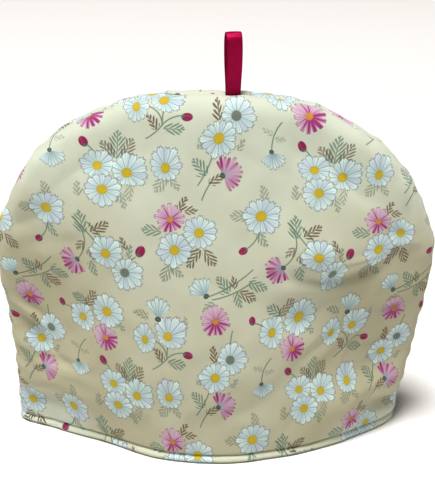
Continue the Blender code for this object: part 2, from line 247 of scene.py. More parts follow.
def from_seam(flat):
    """Distance from the seam and the outward direction there, for flat (x, z) points."""
    nearest = np.full(len(flat), np.inf)
    outward = np.zeros((len(flat), 2))
    for i in range(len(SEAM) - 1):
        run = SEAM[i + 1] - SEAM[i]
        share = np.clip((flat - SEAM[i]) @ run / (run @ run), 0.0, 1.0)
        distance = np.linalg.norm(flat - SEAM[i] - share[:, None] * run, axis=1)
        closer = distance < nearest
        nearest[closer] = distance[closer]
        outward[closer] = mix(SEAM_OUTWARD[i], SEAM_OUTWARD[i + 1], share[closer, None])
    outward[:, 1] *= smooth(flat[:, 1] / LEVEL_UNTIL)
    return nearest, unit(outward)


def seam_side(z, side):
    """Where the seam stands at a height, on the left (-1) or the right (1)."""
    half = SEAM[: TOP + 1] if side < 0 else SEAM[TOP:][::-1]
    return np.interp(z, half[:, 1], half[:, 0])


hem_width = float(seam_side(0.0, 1) - seam_side(0.0, -1))
print("width at the hem in mm:", round(hem_width / MM, 1))

# %% [markdown]
# ## The padded form
# Wadding rounds a panel where the seam pulls it in, and the open foot lets it belly forward. The
# form is one formula for each of these: a rounded edge that the cloth wraps, and a belly that is
# fullest at the foot and dies out towards the top. The foot has its own table, because a cosy that
# has been folded and stood up again is flatter on one side than on the other.

# %% Shape the edge and the belly
GAP = 0.3 * MM  # clearance between the panels
BELLY = 62.5 * MM
BELLY_EXPONENT = 1.7
BELLY_CENTRE = -8.0 * MM  # from left to right, where it is fullest
UPPER_CURVE = 2.2
UPPER_FROM = 120.0 * MM
FOOT = (  # fullness along the hem: place from side seam to side seam, share of the belly
    (-1, 0),
    (-0.9, 0.12),
    (-0.7, 0.335),
    (-0.5, 0.55),
    (-0.3, 0.8),
    (-0.15, 0.925),
    (0, 0.96),
    (0.15, 0.95),
    (0.35, 0.855),
    (0.5, 0.735),
    (0.7, 0.515),
    (0.85, 0.3),
    (0.93, 0.145),
    (1, 0),
)
EDGE_RADIUS = 7.5 * MM
EDGE_CENTRE = 5.2 * MM  # from the seam plane to the centre of the round
EDGE_START = -math.asin((EDGE_CENTRE - GAP / 2) / EDGE_RADIUS)
EDGE_END = math.radians(75)
EDGE_RUNOUT = 5.0 * MM
EDGE_GATHER = 4.0 * MM
HEM_EDGE_SCALE = 0.5
FULL_EDGE_FROM = 110.0 * MM
ARC = EDGE_RADIUS * (EDGE_END - EDGE_START)
ARC_OUT = EDGE_RADIUS * (math.cos(EDGE_END) - 1.0)
TAKEN_UP = ARC + ARC_OUT  # cloth that the round takes up
EDGE_DEPTH = EDGE_CENTRE + EDGE_RADIUS * math.sin(EDGE_END) + EDGE_RUNOUT * math.cos(EDGE_END)
foot_line = curve_through(FOOT)


def edge_round(distance):
    """Outward place, forward place and normal angle of the rounded edge, by flat distance."""
    taken = distance + TAKEN_UP * (1.0 - np.exp(-distance / EDGE_GATHER))
    angle = np.minimum(EDGE_START + taken / EDGE_RADIUS, EDGE_END)
    past = np.maximum(taken - ARC, 0.0)
    settle = np.exp(-past / EDGE_RUNOUT)
    out = EDGE_RADIUS * (np.cos(angle) - 1.0) - past
    runout = EDGE_RUNOUT * math.cos(EDGE_END) * (1.0 - settle)
    forward = EDGE_CENTRE + EDGE_RADIUS * np.sin(angle) + runout
    return out, forward, mix(math.pi / 2, angle, settle)


def belly(x, z):
    """How far the panel stands forward of its rounded edge."""
    z = np.maximum(z, 0.0)
    left, right = seam_side(z, -1), seam_side(z, 1)
    across = np.clip((2 * x - right - left) / np.maximum(right - left, MM), -1.0, 1.0)
    at_foot = np.interp(across, foot_line[:, 0], foot_line[:, 1])
    fullness = mix(at_foot, 1.0 - np.abs(across) ** UPPER_CURVE, smooth(z / UPPER_FROM))
    return BELLY * fullness * (1.0 - np.minimum(1.0, z / DOME_TOP) ** BELLY_EXPONENT)


print("depth of the belly at the foot in mm:", round(float(belly(BELLY_CENTRE, 0.0)) / MM, 1))

# %% [markdown]
# ## Folds, hem and seam roll
# Real cloth is never even. Long soft folds run in from the side seams, where the cloth was pressed
# flat in a drawer, and small creases lie on and between them. Both are listed in tables: a place, a
# heading, a length, a width and a rise, each one a soft ridge or trough. The turned hem is a puffed
# roll with a sunk line of stitches above it. The seam allowance makes a soft band round the dome,
# which is fuller over the crown, with a trough below it, and the seam's own thread puckers it.

# %% Place the folds, the hem and the seam roll
FRONT_FOLDS = (  # x, height, heading in degrees, length, width, rise, in mm
    (-112, 214, -10, 48, 26, 4.4),
    (-128, 112, -4, 42, 48, -9.4),
    (-128, 42, -4, 40, 17, 3),
    (-150, 92, -42, 26, 9, -2.4),
    (-150, 74, -36, 26, 12, 2),
    (-135, 30, -4, 34, 9, -1.6),
    (96, 190, 14, 50, 26, 4.2),
    (80, 170, 0, 42, 15, 3.8),
    (62, 122, 34, 26, 14, -2),
    (118, 132, 18, 34, 9, 1.2),
    (118, 96, 10, 48, 40, -8.4),
    (60, 70, 28, 60, 12, -1.6),
    (120, 42, 18, 44, 16, 4.6),
    (138, 26, -8, 16, 7, -2.4),
)
BACK_FOLDS = (
    (-112, 150, 22, 42, 22, -3),
    (-60, 84, 34, 52, 14, -2.4),
    (-128, 52, 20, 34, 12, 2.4),
    (30, 120, -12, 60, 26, -2.4),
    (124, 96, -30, 34, 11, -3),
    (132, 70, -26, 32, 12, 2.2),
    (96, 176, 30, 30, 16, -2.2),
    (128, 28, 6, 30, 9, -2.4),
)
FRONT_CREASES = (  # the same, for the small creases that are too fine for the solid
    (110, 164.5, 9, 17, 3.4, 2.8),
    (104, 153.5, 9, 24, 5.5, -3.2),
    (76, 152.5, -6, 26, 6, -2.6),
    (74, 148, 4, 22, 5, 0.8),
    (75, 124, 38, 12, 4.5, -1.5),
    (90, 126, 40, 14, 5, 0.9),
    (84, 98, 32, 20, 4.5, -1.6),
    (92, 90, 34, 18, 5, 1.1),
    (107, 88, 66, 12, 3.6, 1.6),
    (113, 92, 64, 12, 3.6, -1.4),
    (128, 84, 14, 12, 3, -1.4),
    (128, 67, 8, 16, 7, -2.2),
    (88, 84, 6, 38, 34, -4.2),
    (108, 70, 6, 26, 11, -1.4),
    (100, 242, -34, 34, 20, 2.6),
    (-118, 226, 26, 40, 18, 2),
    (-84, 186, 0, 44, 24, 2.6),
    (-80, 104, -4, 44, 30, -2.2),
    (126, 50, 12, 20, 9, 2),
    (136, 30, -30, 20, 8, -3),
    (80, 127, 4, 38, 18, -4.5),
    (-100, 46, -8, 30, 10, 1.4),
    (143, 118, 8, 12, 3, -1.2),
    (141, 131, 4, 12, 3, 1),
    (138, 165, -4, 16, 2.6, -0.9),
    (138, 173, -6, 18, 2.6, 0.8),
    (136, 181, -8, 14, 2.6, -0.8),
    (52, 128, -30, 26, 6, -0.7),
    (-151, 116, -42, 14, 4, -2.2),
    (-150, 107, -42, 15, 3.4, 2.7),
    (-150, 100, -44, 12, 4, -1.6),
    (-142, 84, -40, 14, 3.5, -1.2),
    (-138, 76, -34, 16, 3.5, 1),
    (-128, 70, -2, 22, 4.5, -1.5),
    (-122, 61, -6, 22, 5, 0.9),
    (-137, 33, 27, 24, 10, -3.4),
    (-96, 46, -24, 26, 6, -0.7),
    (-122, 176, 14, 26, 5, -0.9),
    (-138, 192, 30, 22, 4, -1.1),
    (-132, 212, 42, 18, 4, 0.9),
    (-98, 232, 34, 24, 5, -0.8),
    (-60, 236, 12, 30, 6, 0.6),
    (30, 238, -24, 30, 6, -0.8),
    (72, 226, -38, 22, 5, 0.9),
    (104, 214, -46, 22, 4.5, -1),
    (124, 196, -34, 20, 4, 0.9),
    (-20, 92, 4, 60, 9, -0.6),
    (-44, 118, -8, 44, 8, 0.5),
    (14, 46, 12, 40, 8, -0.6),
)
BACK_CREASES = (
    (120, 150, -20, 22, 4.5, -1.4),
    (128, 112, -34, 20, 4, 1.2),
    (100, 84, -26, 24, 5, -1.3),
    (60, 140, 14, 34, 6, -0.8),
    (-40, 156, -10, 40, 7, 0.7),
    (-96, 176, 26, 26, 5, -1.1),
    (-130, 120, 34, 20, 4, 1.2),
    (-118, 88, 24, 24, 4.5, -1.4),
    (-70, 60, 12, 32, 6, -0.8),
    (20, 60, -16, 40, 7, 0.6),
    (84, 44, -18, 26, 5, -1),
    (-30, 230, -14, 34, 6, -0.7),
    (80, 222, -38, 24, 5, 0.9),
)
FOLD_FADE = 10.0 * MM
PUCKER_FADE = 9.0 * MM  # how far the puckers of the seam reach into the cloth
PUCKER_START = 2.0 * MM
PUCKER_RISE = 0.45 * MM
PUCKER_RADIUS = 170.0 * MM  # turns an angle round the foot's middle into a run along the seam
PUCKER_WAVES = ((11.0, 0.4), (17.0, 2.1), (29.0, 4.4))  # length along the seam in mm, phase
RIPPLES = (  # length across in mm, length up in mm, phase, rise in mm
    (74, 41, 0.3, 0.22),
    (-58, 66, 1.9, 0.20),
    (37, -52, 4.1, 0.14),
    (-29, 23, 2.7, 0.09),
    (19, 31, 5.2, 0.06),
)
SEAM_ROLL = ((9, 6, 1), (30, 12, -1.8))  # distance from the seam, width, rise, in mm
CROWN_ROLL = ((14, 24, 2.4),)  # the same over the middle of the top, where the roll is fuller
CROWN_HALF = 36.0 * MM
CROWN_FADE = 30.0 * MM
CROWN_RISE = 12.0 * MM
HEM = (  # height, push of the outer face, push of the inner face, in mm
    (0, -1.2, -1.3),
    (0.8, 0.6, -0.4),
    (1.8, 1.5, 0),
    (3.2, 1.6, 0),
    (4.8, 0.5, -0.4),
    (6, -1, -0.8),
    (6.6, -1.8, -1),
    (7.4, -1, -0.6),
    (9, -0.1, -0.2),
    (12, 0.1, 0),
    (28, 0, 0),
)
CORNER_HEM = 0.35
CORNER_REACH = 16.0 * MM
hem_outer_line = curve_through([(height, outer) for height, outer, _ in HEM]) * MM
hem_inner_line = curve_through([(height, inner) for height, _, inner in HEM]) * MM


def folds_at(flat, folds):
    """The rise of all folds at flat places, each a soft ridge or trough along its heading."""
    total = np.zeros(len(flat))
    for fold_x, fold_z, heading, length, width, rise in folds:
        turn = math.radians(heading)
        dx, dz = flat[:, 0] - fold_x * MM, flat[:, 1] - fold_z * MM
        along = (dx * math.cos(turn) + dz * math.sin(turn)) / (length * MM)
        across = (dz * math.cos(turn) - dx * math.sin(turn)) / (width * MM)
        total += rise * MM * np.exp(-(along**2) - across**2)
    return total


def rolls(distance, rows):
    """The rise of soft ridges and troughs that follow the seam."""
    off = distance / MM
    return sum(rise * MM * np.exp(-(((off - where) / width) ** 2)) for where, width, rise in rows)


def seam_roll(flat, distance):
    """The roll of the seam allowance, round the sides and over the crown."""
    crown = rolls(distance, CROWN_ROLL) * smooth(distance / CROWN_RISE)
    aside = smooth((np.abs(flat[:, 0]) - CROWN_HALF) / CROWN_FADE)
    return mix(crown, rolls(distance, SEAM_ROLL), aside)


def slack(flat, distance):
    """The small unevenness of sewn cloth: broad ripples, and puckers that die out from the seam."""
    total = np.zeros(len(flat))
    for across, up, phase, rise in RIPPLES:
        total += rise * MM * np.sin(TAU * (flat[:, 0] / across + flat[:, 1] / up) / MM + phase)
    total *= smooth(distance / FOLD_FADE)
    seam_run = np.arctan2(flat[:, 1], flat[:, 0]) * PUCKER_RADIUS
    wave = sum(np.sin(TAU * seam_run / (length * MM) + phase) for length, phase in PUCKER_WAVES)
    pinch = np.exp(-distance / PUCKER_FADE) * smooth(distance / PUCKER_START)
    return total + wave * PUCKER_RISE * pinch


def hem_push(z, line):
    """How far the turned hem pushes a face out at a height."""
    return np.interp(z, line[:, 0], line[:, 1])


print("folds on the front and the back:", len(FRONT_FOLDS), len(BACK_FOLDS))
print("small creases:", len(FRONT_CREASES), len(BACK_CREASES))

# %% [markdown]
# ## From flat cloth to the outer and inner face
# Each place on the flat panel gets a point on the outer cloth and a point on the inner cloth, a
# wadding's thickness behind it. The place also keeps its own measure along the cloth, which becomes
# the UV map. The print then keeps its size where the cloth wraps the edge or runs over the belly,
# as a real print does. A flat projection would stretch it there.

# %% Work out the two faces and the cloth's own measure
WALL = 7.0 * MM
MATING_STRIP = 4.0 * MM
INNER_CORNER = 10.0 * MM
SLOPE_STEP = 1.0 * MM
MEASURE_STEP = 2.0 * MM
MEASURE_HALF = 0.180  # the measuring grid reaches this far to each side
MEASURE_TOP = 0.290

grid_x = np.arange(-MEASURE_HALF, MEASURE_HALF + MEASURE_STEP / 2, MEASURE_STEP)
grid_z = np.arange(0.0, MEASURE_TOP + MEASURE_STEP / 2, MEASURE_STEP)
grid_depth = belly(*np.meshgrid(grid_x, grid_z, indexing="ij"))
slope_x, slope_z = np.gradient(grid_depth, MEASURE_STEP)
measure_u = np.cumsum(np.sqrt(1 + slope_x**2), axis=0) * MEASURE_STEP
centre_column = np.argmin(np.abs(grid_x - BELLY_CENTRE))
measure_u += grid_x[centre_column] - measure_u[centre_column]
measure_v = np.cumsum(np.sqrt(1 + slope_z**2), axis=1) * MEASURE_STEP
measure_v -= measure_v[:, :1]


def read_grid(table, x, z):
    """Bilinear reading of a table on the measuring grid."""
    i = np.clip((x - grid_x[0]) / MEASURE_STEP, 0, len(grid_x) - 1.001)
    j = np.clip((z - grid_z[0]) / MEASURE_STEP, 0, len(grid_z) - 1.001)
    i0, j0 = i.astype(int), j.astype(int)
    fi, fj = i - i0, j - j0
    low = mix(table[i0, j0], table[i0 + 1, j0], fi)
    high = mix(table[i0, j0 + 1], table[i0 + 1, j0 + 1], fi)
    return mix(low, high, fj)


def panel_faces(flat, folds):
    """Outer points, inner points (+Y forward) and cloth measure for flat (x, z) places."""
    distance, outward = from_seam(flat)
    scale = mix(HEM_EDGE_SCALE, 1.0, smooth(flat[:, 1] / FULL_EDGE_FROM))
    out, forward, angle = edge_round(distance / scale)
    place = flat + outward * (out * scale + distance)[:, None]
    x, z = place[:, 0], place[:, 1]
    step = SLOPE_STEP
    dx = (belly(x + step, z) - belly(x - step, z)) / (2 * step)
    dz = (belly(x, z + step) - belly(x, z - step)) / (2 * step)
    facing = unit(np.stack([-dx, np.ones_like(dx), -dz], axis=1))
    rim = np.stack([outward[:, 0], np.zeros_like(dx), outward[:, 1]], axis=1)
    normal = unit(rim * np.cos(angle)[:, None] + facing * np.sin(angle)[:, None])
    at_seam = distance < GAP
    normal[at_seam] = rim[at_seam]

    push = folds_at(flat, folds) * smooth(distance / FOLD_FADE) + slack(flat, distance)
    push += np.where(at_seam, 0.0, seam_roll(flat, distance) * scale)
    level = unit(normal * (1, 1, 0))
    at_corner = mix(CORNER_HEM, 1.0, smooth(distance / CORNER_REACH))
    at_hem = hem_push(flat[:, 1], hem_outer_line) * at_corner
    outer = np.stack([x, forward * scale + belly(x, z), z], axis=1)
    outer += normal * push[:, None] + level * at_hem[:, None]

    sunk = -edge_round(np.zeros(1))[0] * scale * np.exp(-distance / INNER_CORNER)
    place = flat - outward * sunk[:, None]
    thick = WALL * np.sqrt(1.0 + np.minimum(1.0, dx**2 + dz**2))
    rising = smooth((distance - MATING_STRIP) / INNER_CORNER)
    reach = np.maximum(0.0, belly(place[:, 0], place[:, 1]) + EDGE_DEPTH * scale - thick - GAP / 2)
    inner = np.stack([place[:, 0], GAP / 2 + rising * reach, place[:, 1]], axis=1)
    pulled = hem_push(flat[:, 1], hem_inner_line)
    inner += facing * (push * rising)[:, None] - unit(facing * (1, 1, 0)) * (pulled * rising)[:, None]

    on_floor = flat[:, 1] <= 0.0
    outer[on_floor, 2] = inner[on_floor, 2] = 0.0
    wrapped = flat + outward * (TAKEN_UP * scale * np.exp(-distance / (EDGE_GATHER * scale)))[:, None]
    tables = (measure_u, measure_v)
    measure = np.stack([read_grid(table, flat[:, 0], flat[:, 1]) for table in tables], axis=1)
    return outer, inner, measure + wrapped - flat


foot_ends = np.array([(seam_side(0.0, side), 0.0) for side in (-1, 1)])
foot_measure = panel_faces(foot_ends, FRONT_FOLDS)[2]
print("cloth across the foot in mm:", np.round(np.diff(foot_measure[:, 0]) / MM, 1).tolist())

# %% [markdown]
# ## Cutting the panel into a fine mesh
# The mesh is laid out flat, like the cut cloth. Its outer rows run along the seam, so the rounded
# edge stays clean, and a core of rows and columns fills the middle. The same cells serve the outer
# and the inner face, which meet along the seam, and a narrow flat strip closes the wall on the floor.

# %% Lay out the flat panel
SIDE_ROWS = 92
TOP_COLUMNS = 150
CORNER_HEIGHT = 225.0 * MM
HEM_ROWS = np.concatenate([np.arange(0.0, 14.0, 0.7), np.arange(14.0, 28.1, 1.4)]) * MM
EDGE_STEPS = np.concatenate([np.arange(0.0, 9.0, 0.75), np.arange(9.0, 30.1, 1.5)]) * MM
BAND_STEPS = 26
CORE_HALF = {-1: 95.0 * MM, 1: 85.0 * MM}
CORE_TOP_HALF = 78.0 * MM
CORE_HEIGHT = 165.0 * MM
CORE_CROWN = 30.0 * MM


def seam_arc(shares):
    """Points on the seam over the top, from its left place at the corner height to its right one."""
    over = SEAM[SEAM[:, 1] > CORNER_HEIGHT]
    ends = [(float(seam_side(CORNER_HEIGHT, side)), CORNER_HEIGHT) for side in (-1, 1)]
    over = np.vstack([ends[0], over, ends[1]])
    run = distance_along(over)
    return np.stack([np.interp(shares * run[-1], run, over[:, k]) for k in (0, 1)], axis=1)


def numbered(points, first=0):
    """A table of point numbers, for a table of points."""
    rows, columns = points.shape[:2]
    return first + np.arange(rows * columns).reshape(rows, columns)


def cells_of(numbers):
    """The four-cornered cells between the rows and columns of a table of point numbers."""
    corners = [numbers[:-1, :-1], numbers[:-1, 1:], numbers[1:, 1:], numbers[1:, :-1]]
    return np.stack(corners, axis=2).reshape(-1, 4)


def flat_panel():
    """Flat points, four-cornered cells, the hem's point numbers and the seam's point numbers."""
    hem_top = HEM_ROWS[-1]
    upper = mix(hem_top, CORNER_HEIGHT, np.arange(1, SIDE_ROWS + 1) / SIDE_ROWS)
    rows = np.concatenate([HEM_ROWS, upper])
    share = rows / CORNER_HEIGHT
    columns = np.linspace(0.0, 1.0, TOP_COLUMNS + 1)
    above_hem = mix(hem_top, CORE_HEIGHT, (rows - hem_top) / (CORNER_HEIGHT - hem_top))
    core_z = np.where(rows <= hem_top, rows, above_hem)
    lift = smooth((core_z - hem_top) / (CORE_HEIGHT - hem_top))[:, None]
    lift = lift * CORE_CROWN * (1 - (2 * columns - 1) ** 2)
    left = -mix(CORE_HALF[-1], CORE_TOP_HALF, share)[:, None]
    right = mix(CORE_HALF[1], CORE_TOP_HALF, share)[:, None]
    core = np.stack([mix(left, right, columns), core_z[:, None] + lift], axis=2)
    core_number = numbered(core)

    last = len(rows) - 1
    rim_number = np.concatenate([core_number[:, 0], core_number[last, 1:-1], core_number[::-1, -1]])
    sides = [np.stack([seam_side(rows, side), rows], axis=1) for side in (-1, 1)]
    seam = np.vstack([sides[0], seam_arc(columns[1:-1]), sides[1][::-1]])
    inner_end = core.reshape(-1, 2)[rim_number]
    reach = np.linalg.norm(inner_end - seam, axis=1)
    spread = np.arange(1, BAND_STEPS + 1) / (BAND_STEPS + 1)
    beyond = EDGE_STEPS[-1] + spread * (reach[:, None] - EDGE_STEPS[-1])
    steps = np.hstack([np.tile(EDGE_STEPS, (len(seam), 1)), beyond]) / reach[:, None]
    band = seam[:, None] + steps[:, :, None] * (inner_end - seam)[:, None]
    band_number = np.hstack([numbered(band, core_number.size), rim_number[:, None]])

    cells = np.vstack([cells_of(core_number), cells_of(band_number)])
    hem = np.concatenate([band_number[0, :-1], core_number[0], band_number[-1, :-1][::-1]])
    points = np.vstack([core.reshape(-1, 2), band.reshape(-1, 2)])
    return points, cells, hem, band_number[:, 0]


flat_points, flat_cells, hem_numbers, seam_numbers = flat_panel()
print("flat points:", len(flat_points), "cells:", len(flat_cells))

# %% [markdown]
# ## Sewing a cover
# A cover is one closed skin round its wadding: the printed cloth outside, a plain cloth inside and
# the turned hem below. The two skins share their points along the seam. Each face carries the
# cloth's own measure as a UV map in metres, and the hem turns under, so the print runs on inside.
# Real cloth is eased into its gathers as it is sewn, so its threads don't run quite straight. Two
# sums of powers of the measure bend the whole print a little, and a table of spots bends it locally.

# %% Build one cover from the flat panel
UV_NAME = "cloth"
TURN_IN = 9.0 * MM  # the printed cloth shows this far up inside the hem
SHARP_ANGLE = math.radians(60)
SEAM_CLEARANCE = 0.03 * MM

EASE_CENTRE = 140.0 * MM
EASE_REACH = (150.0 * MM, 140.0 * MM)
EASE_ACROSS = (  # power of the place across, power of the place up, shift in mm
    (1, 0, 7.2),
    (1, 1, -8.5),
    (1, 2, -5.5),
    (2, 0, 2.6),
    (0, 1, -2.2),
)
EASE_UP = (  # the same for the shift upwards
    (2, 0, 5.2),
    (2, 1, 14),
    (0, 2, 6),
    (0, 1, -2.3),
    (3, 0, 4.3),
    (1, 0, 1.5),
)
EASE_SPOTS = (  # place across and up, reach, and the shift across and up, in mm
    (12, 280, 30, 0, -5.5),
    (50, 296, 22, 5, -1.5),
    (-125, 205, 34, 2.4, -2.6),
    (-157, 126, 26, 3, 2.4),
    (-125, 27, 26, 3.2, 0),
    (85, 164, 22, -4.6, -0.6),
    (144, 190, 26, -3.4, -2.2),
    (157, 126, 24, -4.3, 3.2),
    (67, 104, 24, 2.9, 2.8),
    (76, 44, 24, -3.2, -2.2),
    (123, 25, 24, -3.2, -2.8),
    (150, 58, 22, 4, -2.8),
    (64, 262, 24, 2.9, 2.8),
    (3, 303, 14, 0, -8),
)


def eased(measure):
    """The cloth measure with the ease of the gathers in it."""
    across = measure[:, 0] / EASE_REACH[0]
    up = (measure[:, 1] - EASE_CENTRE) / EASE_REACH[1]
    shifts = [
        sum(shift * MM * across**power_across * up**power_up for power_across, power_up, shift in rows)
        for rows in (EASE_ACROSS, EASE_UP)
    ]
    measure = measure + np.stack(shifts, axis=1)
    pulls = np.zeros_like(measure)
    for place_u, place_v, reach, shift_u, shift_v in EASE_SPOTS:
        away = np.linalg.norm(measure / MM - (place_u, place_v), axis=1) / reach
        pulls += np.exp(-(away**2))[:, None] * (shift_u * MM, shift_v * MM)
    return measure + pulls


def lay_cloth(mesh, measure):
    """Give a mesh the cloth's measure at each point as its UV map."""
    corners = np.zeros(len(mesh.loops), int)
    mesh.loops.foreach_get("vertex_index", corners)
    layer = mesh.uv_layers.new(name=UV_NAME)
    layer.data.foreach_set("uv", measure[corners].ravel())


def soften(mesh):
    """Shade a mesh smooth but for its sharp edges."""
    mesh.shade_smooth()
    mesh.set_sharp_from_angle(angle=SHARP_ANGLE)


def make_cover(name, facing, folds, printed, plain):
    """One padded cover. facing is -1 for the front, which looks to -Y, and 1 for the back."""
    outer, inner, measure = panel_faces(flat_points, folds)
    outer[seam_numbers, 1] = SEAM_CLEARANCE
    count = len(flat_points)
    inside = np.arange(count) + count
    inside[seam_numbers] = seam_numbers
    used = np.setdiff1d(np.arange(2 * count), seam_numbers + count)
    renumber = np.full(2 * count, -1)
    renumber[used] = np.arange(len(used))
    places = np.vstack([outer, inner])[used] * (1.0, facing, 1.0)

    strip = [(a, inside[a], inside[b], b) for a, b in zip(hem_numbers, hem_numbers[1:])]
    strip = [tuple(dict.fromkeys(face)) for face in strip]
    faces = [tuple(cell) for cell in flat_cells]
    faces += [tuple(inside[cell[::-1]]) for cell in flat_cells]
    faces += strip
    if facing > 0:
        faces = [face[::-1] for face in faces]
    mesh = bpy.data.meshes.new(name)
    mesh.from_pydata(places.tolist(), [], [renumber[list(face)].tolist() for face in faces])
    mesh.materials.append(printed)
    mesh.materials.append(plain)

    turned = np.stack([measure[:, 0], -flat_points[:, 1]], axis=1)
    lay_cloth(mesh, eased(np.vstack([measure, turned])[used]) * (-facing, 1.0))

    heights = flat_points[flat_cells, 1].min(axis=1)
    slots = np.concatenate([np.zeros(len(flat_cells)), heights >= TURN_IN, np.zeros(len(strip))])
    mesh.polygons.foreach_set("material_index", slots.astype(int))
    soften(mesh)
    return new_object(name, mesh)


print("points along the hem:", len(hem_numbers), "points along the seam:", len(seam_numbers))

# %% [markdown]
# ## Writing shader sums like plain sums
# A printed pattern can be painted as a picture, or worked out from the cloth's own measure. Worked
# out, it stays sharp at any distance and needs no file. Such a pattern takes hundreds of small Math
# nodes, so this cell makes a value in a node tree behave like a number: it can be added, multiplied
# and compared, and each step adds the node that does it.

# %% Give node sockets plain arithmetic
NUMBERS_FROM_VECTORS = ("DOT_PRODUCT", "LENGTH")
MIX_SOCKETS = {"VECTOR": ((0, 4, 5), 1), "RGBA": ((0, 6, 7), 2)}  # share, first, second, and result
AXES = ((1, 0, 0), (0, 1, 0), (0, 0, 1))


def math_method(operation):
    """A method of Field that adds one Math node."""
    def method(self, *others):
        return self.node(operation, *others)

    return method


class Field:
    """A number in a node tree that can be used in sums."""

    def __init__(self, tree, socket):
        self.tree = tree
        self.socket = socket

    def node(self, operation, *others, clamp=False):
        """The result of a Math node on this number and others."""
        node = self.tree.nodes.new("ShaderNodeMath")
        node.operation = operation
        node.use_clamp = clamp
        for slot, value in zip(node.inputs, (self, *others)):
            connect(self.tree, value, slot)
        return Field(self.tree, node.outputs[0])

    __add__ = __radd__ = math_method("ADD")
    __sub__ = math_method("SUBTRACT")
    __mul__ = __rmul__ = math_method("MULTIPLY")
    __truediv__ = math_method("DIVIDE")
    at_least = math_method("MAXIMUM")
    at_most = math_method("MINIMUM")
    size = math_method("ABSOLUTE")
    power = math_method("POWER")
    fraction = math_method("FRACT")
    cosine = math_method("COSINE")

    def __rsub__(self, other):
        return self * -1.0 + other

    def below(self, edge, soft=0.0):
        """1 where the value is below the edge and 0 above it, with a soft step if asked."""
        if not soft:
            return self.node("LESS_THAN", edge)
        return ((self - edge) * (-0.5 / soft)).node("ADD", 0.5, clamp=True)

    def above(self, edge, soft=0.0):
        """The opposite of below."""
        return 1.0 - self.below(edge, soft)


def new_group(name, kind, inputs, outputs):
    """A node group and what it is given; inputs and outputs are each socket's name and kind."""
    tree = bpy.data.node_groups.new(name, kind)
    for way, sockets in (("INPUT", inputs), ("OUTPUT", outputs)):
        for label, value in sockets.items():
            tree.interface.new_socket(label, in_out=way, socket_type="NodeSocket" + value)
    return tree, add_node(tree, "NodeGroupInput").outputs


def vector_math(tree, operation, first, *others):
    """The result of a Vector Math node, as a socket, or as a Field where it is a number."""
    node = tree.nodes.new("ShaderNodeVectorMath")
    node.operation = operation
    for slot, value in zip(node.inputs, (first, *others)):
        connect(tree, value, slot)
    if operation in NUMBERS_FROM_VECTORS:
        return Field(tree, node.outputs["Value"])
    return node.outputs["Vector"]


def blend(tree, share, first, second, kind="RGBA"):
    """A mix of colours or vectors, with the first where share is 0 and the second where it is 1."""
    node = tree.nodes.new("ShaderNodeMix")
    node.data_type = kind
    slots, result = MIX_SOCKETS[kind]
    for slot, value in zip(slots, (share, first, second)):
        connect(tree, value, node.inputs[slot])
    return node.outputs[result]


def parts_of(tree, vector):
    """The x, y and z of a vector as Fields."""
    return [vector_math(tree, "DOT_PRODUCT", vector, axis) for axis in AXES]


def noise_of(tree, place, scale, detail=2.0):
    """Soft noise from 0 to 1 at a place."""
    noise = add_node(tree, "ShaderNodeTexNoise", Scale=scale, Detail=detail, Vector=place)
    return Field(tree, noise.outputs["Fac"])


def srgb(red, green, blue):
    """A screen colour from 0 to 255 as the linear colour that a shader takes."""
    shares = (red / 255, green / 255, blue / 255)
    linear = [((share + 0.055) / 1.055) ** 2.4 if share > 0.04 else share / 12.92 for share in shares]
    return (*linear, 1.0)


print("mid grey as a linear colour:", [round(part, 3) for part in srgb(128, 128, 128)])

# %% [markdown]
# ## Charting the print
# The cloth is a common cottage print of daisies, pink flowers, buds and sprays on cream. A print
# comes off a roller, so one repeat is enough: the charts below give each motif's place in the
# repeat, its heading and its size, all in millimetres and degrees on the flat cloth. Flowers that
# overlap are put in different layers, so that one can lie over the other.

# %% Chart the flowers and buds
REPEAT = (157.5, 178.0)
WHITE, BACK, PINK = 0, 1, 2  # kinds of open flower
OPEN_FLOWERS = {  # kind, u, v, heading, radius, breadth, lean of the petals towards the heading
    "under": (
        (WHITE, -37.5, 113.3, 50, 12.5, 12.5, 0.40),
        (WHITE, -111, 117, 80, 12.5, 12, 0.05),
        (WHITE, -87.5, 126.7, 20, 14, 14, 0.05),
        (WHITE, -86, 64.5, 100, 12, 12, 0.10),
        (WHITE, -65, 59, 40, 13, 13, 0.32),
        (WHITE, -31.7, 179.5, 250, 13, 13, 0.03),
        (WHITE, -83.3, 174.5, 60, 13, 12.5, 0.10),
        (WHITE, -37.3, 63, 85, 13.5, 11, 0.25),
        (WHITE, 32.5, 205.4, 10, 14.5, 14, 0.04),
        (BACK, 12.1, 96.5, 20, 12.5, 12.5, 0.22),
        (PINK, 0, 126.3, 120, 11.4, 11.2, 0.05),
    ),
    "over": (
        (WHITE, -56.3, 108.8, 90, 12.2, 9, 0.12),
        (WHITE, 0.2, 82, 200, 13, 13, 0.03),
        (WHITE, -82.7, 46, 300, 13, 13, 0.05),
        (WHITE, -13.3, 192.6, 75, 12.5, 12.5, 0.06),
        (BACK, -70, 160.2, -35, 12.5, 12.5, 0.25),
        (PINK, -90.8, 104.2, 150, 11, 10.8, 0.06),
        (PINK, -34.5, 202.4, 110, 10.6, 10.4, 0.10),
    ),
}
SIDE_FLOWERS = (  # 1 if pink, u, v of the cup, heading, radius, half spread in degrees
    (0, -45, 127, 86, 16.5, 50),
    (1, 4, 57.2, 24, 14.5, 98),
    (0, 38.7, 75, -72, 12.5, 72),
    (1, -107.5, 166.7, 206, 13.5, 95),
    (0, -7.9, 145.8, 124, 15, 56),
)
BUDS = (  # u, v, heading, length
    (-21.7, 99.6, -14, 4),
    (29, 126.3, 98, 3.4),
    (-57.2, 177.4, 62, 4.6),
    (20, 179.4, 208, 3.6),
    (-94.6, 83.3, 112, 4.2),
)
